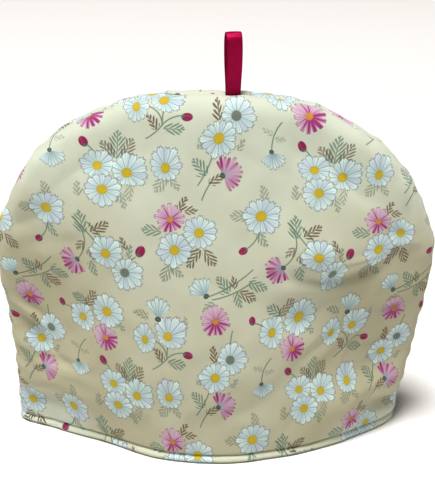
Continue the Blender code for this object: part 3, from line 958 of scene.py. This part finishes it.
print("flowers in one repeat:", sum(map(len, OPEN_FLOWERS.values())) + len(SIDE_FLOWERS), "buds:", len(BUDS))

# %% [markdown]
# Stems and feathery sprays tie the flowers together. Each row runs from a foot along a heading. A
# spray's tint goes from grey-green to brown, and its strength is how dark the ink is, because a
# print sets pale sprays behind dark ones.

# %% Chart the stems and sprays
STEMS = (  # u, v of the foot, u, v of the end, bow to the left of the way
    (-50.4, 85.2, -38.4, 95.6, -0.8),
    (-39, 95, -25.6, 101.2, 1.6),
    (-38.8, 94.6, -48, 109, -3),
    (-38.6, 95, -37.2, 107, 0.4),
    (-105, 200.8, -89, 181, 0.5),
    (-100.6, 196, -106.5, 167.6, 5),
    (-94.2, 197.5, -84, 184.4, 0.5),
    (-75.5, 170.2, -61, 173, -2),
    (-74.8, 169.8, -70.6, 162, 0.6),
    (38.6, 76, 46.8, 97, 2.4),
    (-11.4, 39, -4.4, 53, 0.6),
    (-14.4, 50, -4, 71, -0.8),
    (11.4, 99, 13.4, 119, 0.5),
    (-6.2, 144.8, 27.5, 165.4, -2.2),
    (-2.4, 142.6, 26.6, 155.4, -1.8),
    (32, 194, 23.4, 181.6, 1.2),
    (-127, 124.6, -118, 121.4, 0.4),
    (-91.6, 80.4, -85, 70, 0.6),
)
GREEN, MOSS, BROWN = 0, 0.45, 1
SPRAYS = {  # u, v of the foot, heading, length, tint, strength
    "one": (
        (-42.8, 91.6, 118, 13, BROWN, 0.9),
        (-23.6, 118.5, 92, 11, MOSS, 0.45),
        (0.8, 94, 100, 14, BROWN, 0.9),
        (-8.4, 57, 128, 16, GREEN, 0.8),
        (-37, 57, 236, 15, MOSS, 0.5),
        (-70.5, 43, 286, 12, GREEN, 0.6),
        (-99.6, 40, 92, 12, MOSS, 0.55),
        (-72, 70, 84, 22, GREEN, 0.75),
        (-82, 121, 318, 12, GREEN, 0.6),
        (-104, 130, 152, 15, GREEN, 0.85),
        (-52.6, 126, 158, 13, MOSS, 0.6),
        (10, 147.4, 128, 16, GREEN, 0.8),
        (25, 156.5, -22, 16, GREEN, 0.8),
        (-12, 180, 232, 17, BROWN, 0.9),
        (-35, 169, 246, 15, MOSS, 0.65),
        (-41, 193, 172, 15, GREEN, 0.75),
        (-28, 209, 62, 12, BROWN, 0.9),
        (24, 205, 176, 15, MOSS, 0.5),
        (34, 216, 98, 13, MOSS, 0.5),
        (-97.5, 189, 98, 18, GREEN, 0.8),
        (-99, 182, 226, 10, BROWN, 0.7),
        (-95.6, 168, 282, 13, GREEN, 0.7),
        (-67.4, 178, 112, 11, BROWN, 0.85),
        (39.5, 87, 160, 9, MOSS, 0.35),
    ),
    "two": (
        (-38, 92.4, -6, 15, GREEN, 0.8),
        (-14.4, 76, 62, 9, MOSS, 0.5),
        (13.6, 74, 58, 9, MOSS, 0.5),
        (-6.6, 51.6, 34, 13, BROWN, 0.85),
        (-36.6, 57, 308, 14, MOSS, 0.5),
        (-62, 50, 262, 13, MOSS, 0.45),
        (-75, 70, 118, 16, BROWN, 0.7),
        (-68, 71, 60, 17, BROWN, 0.75),
        (-106, 129, 52, 17, BROWN, 0.75),
        (-1, 139.6, 206, 10, GREEN, 0.6),
        (16.5, 149, 284, 13, GREEN, 0.8),
        (18, 148.6, -28, 15, BROWN, 0.85),
        (14, 151, 100, 10, BROWN, 0.8),
        (-9.6, 180, 306, 15, BROWN, 0.85),
        (-33.6, 169, 310, 13, MOSS, 0.6),
        (-24, 209, 4, 10, BROWN, 0.8),
        (31.4, 194, 300, 13, GREEN, 0.7),
        (-93, 190.4, 32, 16, BROWN, 0.9),
        (-66.4, 172, 78, 11, GREEN, 0.7),
        (-97, 176, 300, 9, BROWN, 0.75),
        (41, 85, 8, 9, MOSS, 0.35),
    ),
}
print("stems:", len(STEMS), "sprays:", sum(map(len, SPRAYS.values())))

# %% [markdown]
# ## Finding the motif under a place
# For each place on the cloth the shader has to know which motif lies there, and where in the motif
# it is. It runs through a chart once: it wraps the way to each motif into one repeat, turns and
# scales it, and keeps the one that is nearest for its size. The drawing itself is then done once
# for a whole chart, and not once for every flower.

# %% Find the nearest motif of a chart
FAR = 1000.0
HALF_REPEAT = (REPEAT[0] / 2, REPEAT[1] / 2, FAR)
OTHER_HALF = tuple(-half for half in HALF_REPEAT)


def place_from(tree, place, centre, turn):
    """A place as seen from the nearest repeat of a centre, turned back by an angle."""
    way = vector_math(tree, "SUBTRACT", place, (*centre, 0.0))
    way = vector_math(tree, "WRAP", way, HALF_REPEAT, OTHER_HALF)
    settings = {"rotation_type": "Z_AXIS"}
    return add_node(tree, "ShaderNodeVectorRotate", settings, Angle=-turn, Vector=way).outputs[0]


def nearest_motif(tree, place, rows):
    """Place within the nearest motif, and its three facts, from (centre, heading, sizes, facts) rows."""
    best, local, facts = None, None, None
    for centre, heading, sizes, row_facts in rows:
        inside = place_from(tree, place, centre, math.radians(heading))
        inside = vector_math(tree, "DIVIDE", inside, (*sizes, 1.0))
        far = vector_math(tree, "DOT_PRODUCT", inside, inside)
        if best is None:
            best, local = far, inside
            facts = vector_math(tree, "ADD", row_facts, (0.0, 0.0, 0.0))
            continue
        closer = far.below(best)
        best = far.at_most(best)
        local = blend(tree, closer, local, inside, "VECTOR")
        facts = blend(tree, closer, facts, row_facts, "VECTOR")
    return local, facts


def polar(tree, local):
    """Distance from the motif's centre and angle from its heading, as a share of a full turn."""
    x, y, _ = parts_of(tree, local)
    distance = vector_math(tree, "LENGTH", local)
    return distance, y.node("ARCTAN2", x) / TAU


print("repeat in mm:", REPEAT)

# %% [markdown]
# ## Drawing an open flower
# A daisy seen from the front is a wheel of narrow petals about a yellow eye. The drawing counts
# petals by angle, gives each its own length from its number, rounds and notches the tip, and leaves
# a gap that widens outwards. The three kinds share the wheel and differ only in their inks: white,
# white seen from behind with a green eye, and pink that pales to lilac on one side.

# %% Draw the open flowers
PETAL_WHITE = srgb(236, 250, 247)
PETAL_BLUE = srgb(206, 227, 230)
PETAL_LILAC = srgb(220, 216, 238)
LINE_BLUE = srgb(92, 122, 130)
MAGENTA = srgb(188, 60, 146)
LILAC = srgb(230, 204, 222)
LINE_PLUM = srgb(150, 62, 122)
EYE_YELLOW = srgb(228, 206, 56)
EYE_OCHRE = srgb(164, 130, 48)
EYE_GREEN = srgb(132, 152, 146)
EYE_ORANGE = srgb(224, 166, 72)
EYE_SIZE = 0.285
EYE_DOTS = 3.4  # how closely the dots of the eye follow each other
PETALS = 14
PETAL_TURN = 0.37  # of a petal, from one flower to the next
PETAL_SHORTEST = 0.87
PETAL_LUCK = 0.17
TIP_ROUND = 0.16
TIP_NOTCH = 0.03
RIM_HALF = 0.05
VEIN_ASIDE = 0.3
VEIN_HALF = 0.08
VEIN_UNTIL = 0.85
LINE_HALF = 0.016
LINE_STRENGTH = 0.8
GAP_FROM = 0.86
GAP_GROWTH = 0.22
PINK_GAP_SOONER = 0.24  # the pink flowers are the spikier ones
PINK_EYE_SMALLER = 0.07


def chance(tree, first, second):
    """A number from 0 to 1 that belongs to a pair of numbers."""
    noise = add_node(tree, "ShaderNodeTexWhiteNoise", {"noise_dimensions": "1D"})
    connect(tree, second * 100.0 + first, noise.inputs["W"])
    return Field(tree, noise.outputs["Value"])


def petal_wheel(tree, distance, turn, seed, count, reach, pink):
    """Cover, line, petal number, share of the reach and nearness to a petal's edge."""
    gap_from = GAP_FROM - pink * PINK_GAP_SOONER
    counted = turn * float(count) + seed * PETAL_TURN
    number = counted.node("FLOOR").node("FLOORED_MODULO", float(count))
    across = counted.fraction() * 2.0 - 1.0
    edge = across.size()
    share = distance / reach
    luck = chance(tree, number, seed)
    length = luck * PETAL_LUCK + PETAL_SHORTEST
    notches = (across * (luck * 3.0 + 7.5)).cosine() * TIP_NOTCH
    tip = length - edge.power(3.0) * TIP_ROUND - notches
    to_side = (1.0 - edge) * share * (math.pi / count)
    gap = (share - gap_from) * (GAP_GROWTH * PETALS / count)
    cover = share.below(tip, 0.03) * to_side.above(gap, 0.015)
    between = (to_side - gap.at_least(0.0)).below(LINE_HALF, 0.02) * (luck * 0.5 + 0.5)
    rim = (tip - share).below(RIM_HALF, 0.03)
    vein = ((across + luck - 0.5).size() - VEIN_ASIDE).size().below(VEIN_HALF, 0.1)
    vein = vein * share.below(VEIN_UNTIL, 0.1) * 0.5
    line = between.at_least(rim).at_least(vein)
    return cover, line, number, share, edge


def petal_colour(tree, pink, white, rose, line):
    """The colour of white or pink petals with their lines drawn in."""
    colour = blend(tree, pink, white, rose)
    ink = blend(tree, pink, LINE_BLUE, LINE_PLUM)
    return blend(tree, line * LINE_STRENGTH, colour, ink)


def draw_open_flowers(tree, place, rows):
    """Colour and cover of a layer of open flowers."""
    motifs = [
        ((u, v), heading, (radius, breadth), (kind, lean, number))
        for number, (kind, u, v, heading, radius, breadth, lean) in enumerate(rows)
    ]
    local, facts = nearest_motif(tree, place, motifs)
    kind, lean, seed = parts_of(tree, facts)
    distance, turn = polar(tree, local)
    towards = (turn * TAU).cosine()
    reach = lean * towards + 1.04
    pink = kind.above(1.5)
    cover, line, number, share, edge = petal_wheel(tree, distance, turn, seed, PETALS, reach, pink)
    behind = kind.above(0.5) * kind.below(1.5)
    tone = chance(tree, number, seed + 7.0)
    white = blend(tree, share.below(0.55, 0.3) * 0.6 + tone * 0.3, PETAL_WHITE, PETAL_BLUE)
    white = blend(tree, tone.above(0.72, 0.05) * share * 0.4, white, PETAL_LILAC)
    deep = 1.25 - share * 1.05 - edge * 1.2 - towards * 0.35 + (tone - 0.5) * 0.8
    deep = deep.node("MULTIPLY", 1.5, clamp=True)
    rose = blend(tree, deep, LILAC, MAGENTA)
    colour = petal_colour(tree, pink, white, rose, line)
    eye = blend(tree, pink, EYE_YELLOW, EYE_ORANGE)
    eye = blend(tree, behind, eye, EYE_GREEN)
    across, up, _ = parts_of(tree, place)
    dots = (across * EYE_DOTS).cosine() * (up * EYE_DOTS).cosine()
    dark = dots.above(0.4, 0.3) * 0.5 + distance.above(EYE_SIZE * 0.8, 0.05) * 0.2
    eye = blend(tree, dark, eye, EYE_OCHRE)
    within = distance.below(EYE_SIZE - pink * PINK_EYE_SMALLER, 0.04)
    colour = blend(tree, within, colour, eye)
    return colour, cover.at_least(within)


print("petals of an open flower:", PETALS)

# %% [markdown]
# ## Drawing side flowers and buds
# A flower seen from the side is a fan of petals that springs from a green cup, with the middle
# petals the longest. A bud is a small pink oval with its foot in green leaves. The side flowers use
# the same petals as the open flower, so the print reads as one hand.

# %% Draw the side flowers and buds
CUP_CENTRE = (-0.05, 0.0)  # the cup and its sizes as shares of the flower's radius
CUP_SIZES = (0.12, 0.15)
CUP_GREEN = srgb(112, 134, 122)
CUP_DARK = srgb(84, 98, 92)
BUD_CRIMSON = srgb(168, 44, 104)
BUD_LIGHT = srgb(206, 106, 160)
FAN_PETALS = 24
BUD_BREADTH = 0.74


def oval(tree, local, centre, sizes):
    """Distance from an oval's centre, 1 on its edge."""
    way = vector_math(tree, "SUBTRACT", local, (*centre, 0.0))
    way = vector_math(tree, "DIVIDE", way, (*sizes, 1.0))
    return vector_math(tree, "LENGTH", way)


def draw_side_flowers(tree, place, rows):
    """Colour and cover of a layer of flowers seen from the side."""
    motifs = [
        ((u, v), heading, (radius, radius), (pink, spread / 360, number))
        for number, (pink, u, v, heading, radius, spread) in enumerate(rows)
    ]
    local, facts = nearest_motif(tree, place, motifs)
    pink, spread, seed = parts_of(tree, facts)
    distance, turn = polar(tree, local)
    aside = turn.size() / spread
    reach = 1.04 - aside.power(2.0) * 0.24
    cover, line, number, share, edge = petal_wheel(tree, distance, turn, seed, FAN_PETALS, reach, pink)
    tone = chance(tree, number, seed + 3.0)
    white = blend(tree, share.below(0.5, 0.25) * 0.8 + tone * 0.3, PETAL_WHITE, PETAL_BLUE)
    deep = (tone * 1.3 - edge * 0.4 + share * 0.5).node("SUBTRACT", 0.45, clamp=True)
    rose = blend(tree, deep, LILAC, MAGENTA)
    rose = blend(tree, share.below(0.34, 0.12) * 0.7, rose, PETAL_BLUE)
    colour = petal_colour(tree, pink, white, rose, line)
    cup = oval(tree, local, CUP_CENTRE, CUP_SIZES)
    cup_colour = blend(tree, cup.above(0.6, 0.2), CUP_GREEN, CUP_DARK)
    colour = blend(tree, cup.below(1.0, 0.1), colour, cup_colour)
    fan = cover * aside.below(1.0, 0.03)
    return colour, fan.at_least(cup.below(1.0, 0.1))


def draw_buds(tree, place, rows):
    """Colour and cover of a layer of buds."""
    motifs = [
        ((u, v), heading, (size, size * BUD_BREADTH), (number, 0, 0))
        for number, (u, v, heading, size) in enumerate(rows)
    ]
    local, _ = nearest_motif(tree, place, motifs)
    x, y, _ = parts_of(tree, local)
    body = oval(tree, local, (0.0, 0.0), (1.0, 1.0))
    streak = (y - 0.3).size().below(0.14, 0.12)
    colour = blend(tree, streak * 0.5, BUD_CRIMSON, BUD_LIGHT)
    leaves = (x + y.size() * 0.5).below(-0.4, 0.1)
    colour = blend(tree, leaves, colour, CUP_GREEN)
    return colour, body.below(1.0, 0.08)


print("petals in a full turn of a side flower:", FAN_PETALS)

# %% [markdown]
# ## Drawing stems and sprays
# A stem is a thin bowed line. A spray is a midrib with slanted leaflets inside a leaf-shaped
# outline; slanting the count of leaflets by the distance from the midrib makes them sweep forward,
# which is how such sprigs are drawn. Both are printed thinly, so the cream shows through.

# %% Draw the stems and sprays
STEM_HALF = 0.42
STEM_END = 8.0  # how steeply a stem ends past its foot and its tip
STEM_STRENGTH = 0.9
STEM_BROWNING = 0.15
STEM_GREEN = srgb(112, 148, 126)
SPRAY_GREEN = srgb(116, 148, 132)
SPRAY_BROWN = srgb(126, 106, 84)
LEAFLETS = 4.0  # mm along the midrib from leaflet to leaflet
SWEEP = 1.5
BREADTH = 0.68  # of a spray, as a share of its length
MIDRIB_HALF = 0.32
LEAFLET_SHORTEST = 0.45
LEAFLET_LUCK = 0.65
LEAFLET_HALF = 0.06
LEAFLET_SWELL = 0.95


def draw_stems(tree, place, rows):
    """Colour and cover of the stems."""
    nearest = None
    for foot_u, foot_v, end_u, end_v, bow in rows:
        along_u, along_v = end_u - foot_u, end_v - foot_v
        middle = ((foot_u + end_u) / 2, (foot_v + end_v) / 2)
        x, y, _ = parts_of(tree, place_from(tree, place, middle, math.atan2(along_v, along_u)))
        x = x * (2 / math.hypot(along_u, along_v))
        past = (x * x).node("SUBTRACT", 1.0)
        off = past.node("MULTIPLY_ADD", bow, y).size()
        off = off.at_least(past * STEM_END)
        nearest = off if nearest is None else off.at_most(nearest)
    colour = blend(tree, STEM_BROWNING, STEM_GREEN, SPRAY_BROWN)
    return colour, nearest.below(STEM_HALF, 0.3) * STEM_STRENGTH


def draw_sprays(tree, place, rows):
    """Colour and cover of a layer of sprays."""
    motifs = []
    for u, v, heading, length, tint, strength in rows:
        half = length / 2
        turn = math.radians(heading)
        middle = (u + half * math.cos(turn), v + half * math.sin(turn))
        motifs.append((middle, heading, (half, half * BREADTH), (tint, strength, half)))
    local, facts = nearest_motif(tree, place, motifs)
    tint, strength, half = parts_of(tree, facts)
    x, y, _ = parts_of(tree, local)
    off = y.size()
    out = off * half * BREADTH
    side = y.above(0.0)
    counted = (x * half - out * SWEEP) / LEAFLETS + side * 0.5
    luck = chance(tree, counted.node("FLOOR"), half + side * 9.0)
    outline = (1.0 - x.power(4.0)).at_least(0.0) * (1.0 - x * 0.25)
    outline = outline * (luck * LEAFLET_LUCK + LEAFLET_SHORTEST)
    way_out = (off / (outline + 0.05)).at_most(1.0)
    taper = (way_out - way_out * way_out) * LEAFLET_SWELL + LEAFLET_HALF
    leaflet = (counted.fraction() - 0.5).size() - taper
    leaflet = leaflet.below(0.0, 0.08)
    midrib = out.below(MIDRIB_HALF, 0.2)
    cover = (leaflet * off.below(outline, 0.1)).at_least(midrib) * x.size().below(1.0, 0.02)
    colour = blend(tree, tint, SPRAY_GREEN, SPRAY_BROWN)
    return colour, cover * strength


longest = max(length for rows in SPRAYS.values() for _, _, _, length, _, _ in rows)
print("leaflets along the longest spray:", longest / LEAFLETS)

# %% [markdown]
# ## Printing the cotton
# The printed cotton is cream, a little uneven in the dye, with the print laid over it one chart at a
# time. The cream is painted darker and warmer at the sides and low down, as painted shade, and paler
# on the lower corners and the roll of the hem, as painted light. It is a plain weave of fine yarn:
# two sets of threads that pass over and under each other. The weave is far too fine to model and
# goes in as a slight bump.
# The place comes from the piece's own measure of the cloth, so the print runs with the threads and
# bends wherever the cloth does.

# %% Make the cotton materials
CLOTH = {"Sheen Roughness": 0.6, "Specular IOR Level": 0.2}
COTTON = CLOTH | {"Roughness": 0.9, "Sheen Weight": 0.25}
YARN = 0.45  # mm from thread to thread
PLAIN_YARN = 0.6
YARN_RISE = 0.4 * MM
PAINTED_SHADE_LOW = 0.8  # painted shade at the hem, fading out going up
PAINTED_SHADE_UNTIL = 290.0  # mm up from the hem
DYE_MOTTLE_SHARE = 0.25
SIDE_PAINTED_SHADE = 0.6  # painted shade at the sides
SIDES_BEYOND = (90.0, 35.0)  # mm from the middle, and how softly it starts
SIDES_UNDER = (200.0, 35.0)  # mm up from the hem, and how softly it ends
# painted light: the lower corners are kept free of the painted shade, so they read paler
CORNERS_BEYOND = (105.0, 20.0)
CORNERS_UNDER = (30.0, 12.0)
ROLL_TOP = (6.2 * MM, 0.5 * MM)  # up from the floor, and how softly the roll of the hem ends
ROLL_SHADE_KEPT = 0.35  # of the painted shade that the roll of the hem keeps; it is left paler, as painted light
CREAM = srgb(226, 231, 215)
# a darker, warmer cream for the painted shade
CREAM_SHADED = srgb(210, 206, 180)
PLAIN_SHADE = srgb(226, 220, 200)
PLAIN_LIGHT = srgb(238, 233, 218)
LAYERS = (
    ("stems", draw_stems, STEMS),
    ("sprays one", draw_sprays, SPRAYS["one"]),
    ("sprays two", draw_sprays, SPRAYS["two"]),
    ("open flowers under", draw_open_flowers, OPEN_FLOWERS["under"]),
    ("side flowers", draw_side_flowers, SIDE_FLOWERS),
    ("open flowers over", draw_open_flowers, OPEN_FLOWERS["over"]),
    ("buds", draw_buds, BUDS),
)


def layer_group(name, draw, rows):
    """A node group that draws one chart."""
    result = {"Colour": "Color", "Cover": "Float"}
    tree, given = new_group(name, "ShaderNodeTree", {"Place": "Vector"}, result)
    colour, cover = draw(tree, given["Place"], rows)
    add_node(tree, "NodeGroupOutput", Colour=colour, Cover=cover)
    return tree


def cloth_place(tree):
    """The place on the cloth in millimetres."""
    measure = add_node(tree, "ShaderNodeUVMap", {"uv_map": UV_NAME})
    return vector_math(tree, "MULTIPLY", measure.outputs[0], (1 / MM, 1 / MM, 0.0))


def relief(tree, height, rise, strength):
    """The normal of a fine relief."""
    return add_node(tree, "ShaderNodeBump", Strength=strength, Distance=rise, Height=height).outputs[0]


def weave(tree, place, yarn, strength):
    """The normal of a plain weave."""
    u, v, _ = parts_of(tree, place)
    warp = (u * (TAU / yarn)).cosine()
    weft = (v * (TAU / yarn)).cosine()
    slubs = noise_of(tree, place, 0.6, 3.0)
    return relief(tree, warp * weft * 0.5 + slubs, YARN_RISE, strength)


def low_down(across, height, beyond, under):
    """1 at both sides of a panel under a height, with soft limits."""
    return across.size().above(*beyond) * height.below(*under)


printed_cotton, tree, shader = new_finish("daisy_cotton")
place = cloth_place(tree)
mottle = noise_of(tree, place, 0.03, 3.0).above(0.5, 0.2)
grain = noise_of(tree, place, 1.1) * 0.4 + 0.78
across, height, _ = parts_of(tree, place)
# Painted shade: the cream is blended towards a darker tan low down and at the sides, where the panels fall
# into shade, with a random mottle of dye mixed in.
sides = low_down(across, height, SIDES_BEYOND, SIDES_UNDER)
corners = low_down(across, height, CORNERS_BEYOND, CORNERS_UNDER)
painted_shade = PAINTED_SHADE_LOW - height / PAINTED_SHADE_UNTIL + mottle * DYE_MOTTLE_SHARE + sides * SIDE_PAINTED_SHADE
# painted light: the lower corners are left paler
painted_shade = painted_shade * (1.0 - corners)
# painted light: the roll of the hem keeps only part of the painted shade, so it reads paler
standing = add_node(tree, "ShaderNodeTexCoord").outputs["Object"]
over_roll = parts_of(tree, standing)[2].above(*ROLL_TOP)
painted_shade = painted_shade * (over_roll * (1.0 - ROLL_SHADE_KEPT) + ROLL_SHADE_KEPT)
colour = blend(tree, painted_shade.at_least(0.0), CREAM, CREAM_SHADED)
for name, draw, rows in LAYERS:
    layer = add_node(tree, "ShaderNodeGroup", {"node_tree": layer_group(name, draw, rows)}, Place=place)
    inked = Field(tree, layer.outputs["Cover"]) * grain
    colour = blend(tree, inked.at_most(1.0), colour, layer.outputs["Colour"])
    print(name, "nodes:", len(layer.node_tree.nodes))
normal = weave(tree, place, YARN, 0.5)
set_inputs(tree, shader, COTTON | {"Base Color": colour, "Normal": normal})

plain_cotton, tree, shader = new_finish("plain_cotton")
place = cloth_place(tree)
colour = blend(tree, noise_of(tree, place, 0.05, 3.0), PLAIN_SHADE, PLAIN_LIGHT)
normal = weave(tree, place, PLAIN_YARN, 0.6)
set_inputs(tree, shader, COTTON | {"Sheen Weight": 0.2, "Base Color": colour, "Normal": normal})

# %% [markdown]
# ## Sewing the two covers
# The front and the back are cut alike and sewn edge to edge round the top and the sides. They hold
# the same wadding but have their own creases, so each is built from its own table of folds. A cover
# is filled cloth.

# %% Put the two covers on their panels
SIDES = {  # the way a panel faces, and its folds
    "front": (-1, FRONT_FOLDS + FRONT_CREASES),
    "back": (1, BACK_FOLDS + BACK_CREASES),
}
for side, (facing, folds) in SIDES.items():
    cover = make_cover(side + "_cover", facing, folds, printed_cotton, plain_cotton)
    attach(cover, "root")
    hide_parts(side + "_panel")
    print(cover.name, "faces:", len(cover.data.polygons))

# %% [markdown]
# ## Looping the ribbon
# A short length of satin ribbon is folded in two, and its tails are caught in the seam a little to
# the right of the top. It stands up by its own stiffness, with the legs bowed a little apart and
# the whole loop turned slightly. The strip follows the solid's own path but is thinner and softly
# cupped across, as a woven edge always is tighter than the middle.

# %% Make the ribbon loop
RIBBON_X = 12.5 * MM
RIBBON_WIDTH = 11.0 * MM
RIBBON_THICK = 0.6 * MM
RIBBON_RISE = 46.0 * MM
RIBBON_TAIL = 5.0 * MM
RIBBON_BELLY = 9.5 * MM
RIBBON_ROUND = 3.6  # a lower power rounds the top of the loop more
RIBBON_TWIST = math.radians(9)
RIBBON_LEG = 0.65 * MM  # from the seam plane to the middle of a leg
RIBBON_CUP = 0.25 * MM
LEG_STEPS = 44
ACROSS_STEPS = 12
TAIL_STEPS = (1.0, 0.66, 0.33)
STEPS_CROWD = 2.2  # over 1 sets the steps closer together towards the top
BOW_START = 0.9  # under 1 bows the legs apart sooner


def settled(item):
    """The mesh that an object has once its modifiers have worked."""
    depsgraph = bpy.context.evaluated_depsgraph_get()
    return bpy.data.meshes.new_from_object(item.evaluated_get(depsgraph))


over_top = SEAM[SEAM[:, 1] > CORNER_HEIGHT]
seam_height = np.interp(RIBBON_X, over_top[:, 0], over_top[:, 1])
valley = float(seam_height + edge_round(np.zeros(1))[0][0])
climb = 1.0 - (1.0 - np.linspace(0.0, 1.0, LEG_STEPS + 1)) ** STEPS_CROWD
bow = RIBBON_LEG + RIBBON_BELLY * climb**BOW_START * np.sqrt(1.0 - climb**RIBBON_ROUND)
leg = np.stack([bow, valley + RIBBON_RISE * climb], axis=1)[:-1]
tail = np.array([(RIBBON_LEG, valley - RIBBON_TAIL * share) for share in TAIL_STEPS])
front_leg = np.vstack([tail, leg])
path = np.vstack([front_leg, [(0.0, valley + RIBBON_RISE)], front_leg[::-1] * (-1.0, 1.0)])
run = distance_along(path)
way = unit(np.gradient(path, axis=0))
aside = np.linspace(-1.0, 1.0, ACROSS_STEPS + 1)
twist = RIBBON_TWIST * smooth((path[:, 1] - valley) / (0.5 * RIBBON_RISE))

points = []
for (forward, height), (way_y, way_z), turn in zip(path, way, twist):
    cup = RIBBON_CUP * (1.0 - aside**2)
    across = aside * RIBBON_WIDTH / 2
    forward_cupped = forward + cup * way_z
    x = RIBBON_X + across * math.cos(turn) + forward_cupped * math.sin(turn)
    y = across * math.sin(turn) - forward_cupped * math.cos(turn)
    points.append(np.stack([x, y, height - cup * way_y], axis=1))
points = np.array(points)
mesh = bpy.data.meshes.new("ribbon")
mesh.from_pydata(points.reshape(-1, 3).tolist(), [], cells_of(numbered(points)).tolist())
lay_cloth(mesh, np.stack(np.meshgrid(aside * RIBBON_WIDTH / 2, run), axis=2).reshape(-1, 2))
flat_ribbon = new_object("ribbon_flat", mesh)
thickness = flat_ribbon.modifiers.new("thickness", "SOLIDIFY")
thickness.thickness = RIBBON_THICK
thickness.offset = 0.0
print("ribbon length in mm:", round(float(run[-1]) / MM, 1), "seam at", round(valley / MM, 1))

# %% [markdown]
# Satin ribbon is woven with long floats, so it shines along one way and shows the fine ribs of its
# weft where light grazes it. The ribs are a bump counted along the ribbon, and the shine is a
# brighter, stretched gloss on a deep crimson.

# %% Give the ribbon its satin
CRIMSON = srgb(190, 16, 92)
CRIMSON_DEEP = srgb(140, 6, 50)
SHINE_PINK = srgb(255, 110, 200)
SATIN = CLOTH | {
    "Roughness": 0.44,
    "Sheen Weight": 0.04,
    "Metallic": 0.3,
    "Specular Tint": SHINE_PINK,
    "Specular IOR Level": 0.9,
    "Anisotropic": 0.5,
}
RIB = 0.9  # mm from rib to rib
RIB_RISE = 0.2 * MM
SELVEDGE = 0.7  # mm

satin, tree, shader = new_finish("satin_ribbon_finish")
place = cloth_place(tree)
u, v, _ = parts_of(tree, place)
selvedge = u.size().above(RIBBON_WIDTH / MM / 2 - SELVEDGE, 0.15)
shade = noise_of(tree, place, 0.25, 3.0) * 0.6 + selvedge * 0.4
ribs = (v * (TAU / RIB)).cosine() * 0.5 + noise_of(tree, place, 2.0)
colour = blend(tree, shade, CRIMSON, CRIMSON_DEEP)
normal = relief(tree, ribs, RIB_RISE, 0.35)
set_inputs(tree, shader, SATIN | {"Base Color": colour, "Normal": normal})

ribbon_mesh = settled(flat_ribbon)
bpy.data.objects.remove(flat_ribbon)
ribbon_mesh.materials.append(satin)
soften(ribbon_mesh)
ribbon = new_object("ribbon", ribbon_mesh)
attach(ribbon, "root")
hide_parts("ribbon_loop")
print("ribbon faces:", len(ribbon_mesh.polygons))

# %% [markdown]
# ## Stitching the hem
# The hem is turned up and held by one row of machine stitches, which pulls the cloth down into a
# groove. A sewing machine lays stitches of one length at one pitch, so they are made by a small
# network of nodes: it cuts a line along the groove into equal steps, sets one stitch on each step,
# turns it along the line and gives it the thread.

# %% Make the stitches with Geometry Nodes
STITCH_HEIGHT = 6.6 * MM
STITCH_PITCH = 3.1 * MM
STITCH_LENGTH = 2.5 * MM
THREAD = 0.42 * MM
THREAD_SINK = 0.05 * MM
STITCH_SIDES = 6
STITCH_RINGS = 5
LINE_STEPS = 240
FIBRE_SCALE = 900.0  # how fine the mottling of the thread is
THREAD_SHADE = srgb(214, 204, 168)
THREAD_LIGHT = srgb(240, 234, 208)


def stitch_tree():
    """A node tree that sets stitches along a line."""
    sizes = {"Pitch": "Float", "Length": "Float", "Thread": "Float"}
    inputs = {"Line": "Geometry", **sizes, "Material": "Material"}
    tree, given = new_group("stitch_row", "GeometryNodeTree", inputs, {"Stitches": "Geometry"})
    curve = add_node(tree, "GeometryNodeMeshToCurve", Mesh=given["Line"]).outputs[0]
    settings = {"mode": "LENGTH"}
    steps = add_node(tree, "GeometryNodeResampleCurve", settings, Curve=curve, Length=given["Pitch"])
    stitch = add_node(
        tree, "GeometryNodeMeshUVSphere", Segments=STITCH_SIDES, Rings=STITCH_RINGS, Radius=0.5
    )
    thread = given["Thread"]
    size = add_node(tree, "ShaderNodeCombineXYZ", X=thread, Y=thread, Z=given["Length"])
    heading = add_node(tree, "GeometryNodeInputTangent").outputs[0]
    turn = add_node(tree, "FunctionNodeAlignRotationToVector", {"axis": "Z"}, Vector=heading)
    row = add_node(
        tree,
        "GeometryNodeInstanceOnPoints",
        Points=steps.outputs[0],
        Instance=stitch.outputs["Mesh"],
        Rotation=turn.outputs[0],
        Scale=size.outputs[0],
    )
    real = add_node(tree, "GeometryNodeRealizeInstances", Geometry=row.outputs[0]).outputs[0]
    finish = add_node(tree, "GeometryNodeSetMaterial", Geometry=real, Material=given["Material"])
    add_node(tree, "NodeGroupOutput", Stitches=finish.outputs[0])
    return tree


def stitch_row(name, facing, folds, tree, material):
    """One row of stitches in a cover's groove."""
    left, right = (float(seam_side(STITCH_HEIGHT, side)) for side in (-1, 1))
    across = np.linspace(left, right, LINE_STEPS)[1:-1]
    outer = panel_faces(np.stack([across, np.full(len(across), STITCH_HEIGHT)], axis=1), folds)[0]
    outer[:, 1] += THREAD_SINK
    line = bpy.data.meshes.new(name)
    edges = [(i, i + 1) for i in range(len(outer) - 1)]
    line.from_pydata((outer * (1.0, facing, 1.0)).tolist(), edges, [])
    row = new_object(name, line)
    sewing = row.modifiers.new("sewing", "NODES")
    sewing.node_group = tree
    values = {"Pitch": STITCH_PITCH, "Length": STITCH_LENGTH, "Thread": THREAD, "Material": material}
    for socket in tree.interface.items_tree:
        if socket.name in values:
            sewing[socket.identifier] = values[socket.name]
    made = settled(row)
    row.modifiers.clear()
    row.data = made
    made.shade_smooth()
    return row


thread_finish, tree, shader = new_finish("cotton_thread")
place = add_node(tree, "ShaderNodeTexCoord").outputs["Object"]
colour = blend(tree, noise_of(tree, place, FIBRE_SCALE), THREAD_SHADE, THREAD_LIGHT)
set_inputs(tree, shader, CLOTH | {"Roughness": 0.75, "Sheen Weight": 0.2, "Base Color": colour})
sewing_tree = stitch_tree()
for side, (facing, folds) in SIDES.items():
    stitches = stitch_row(side + "_hem_stitches", facing, folds, sewing_tree, thread_finish)
    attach(stitches, "root")
    print(stitches.name, "faces:", len(stitches.data.polygons))
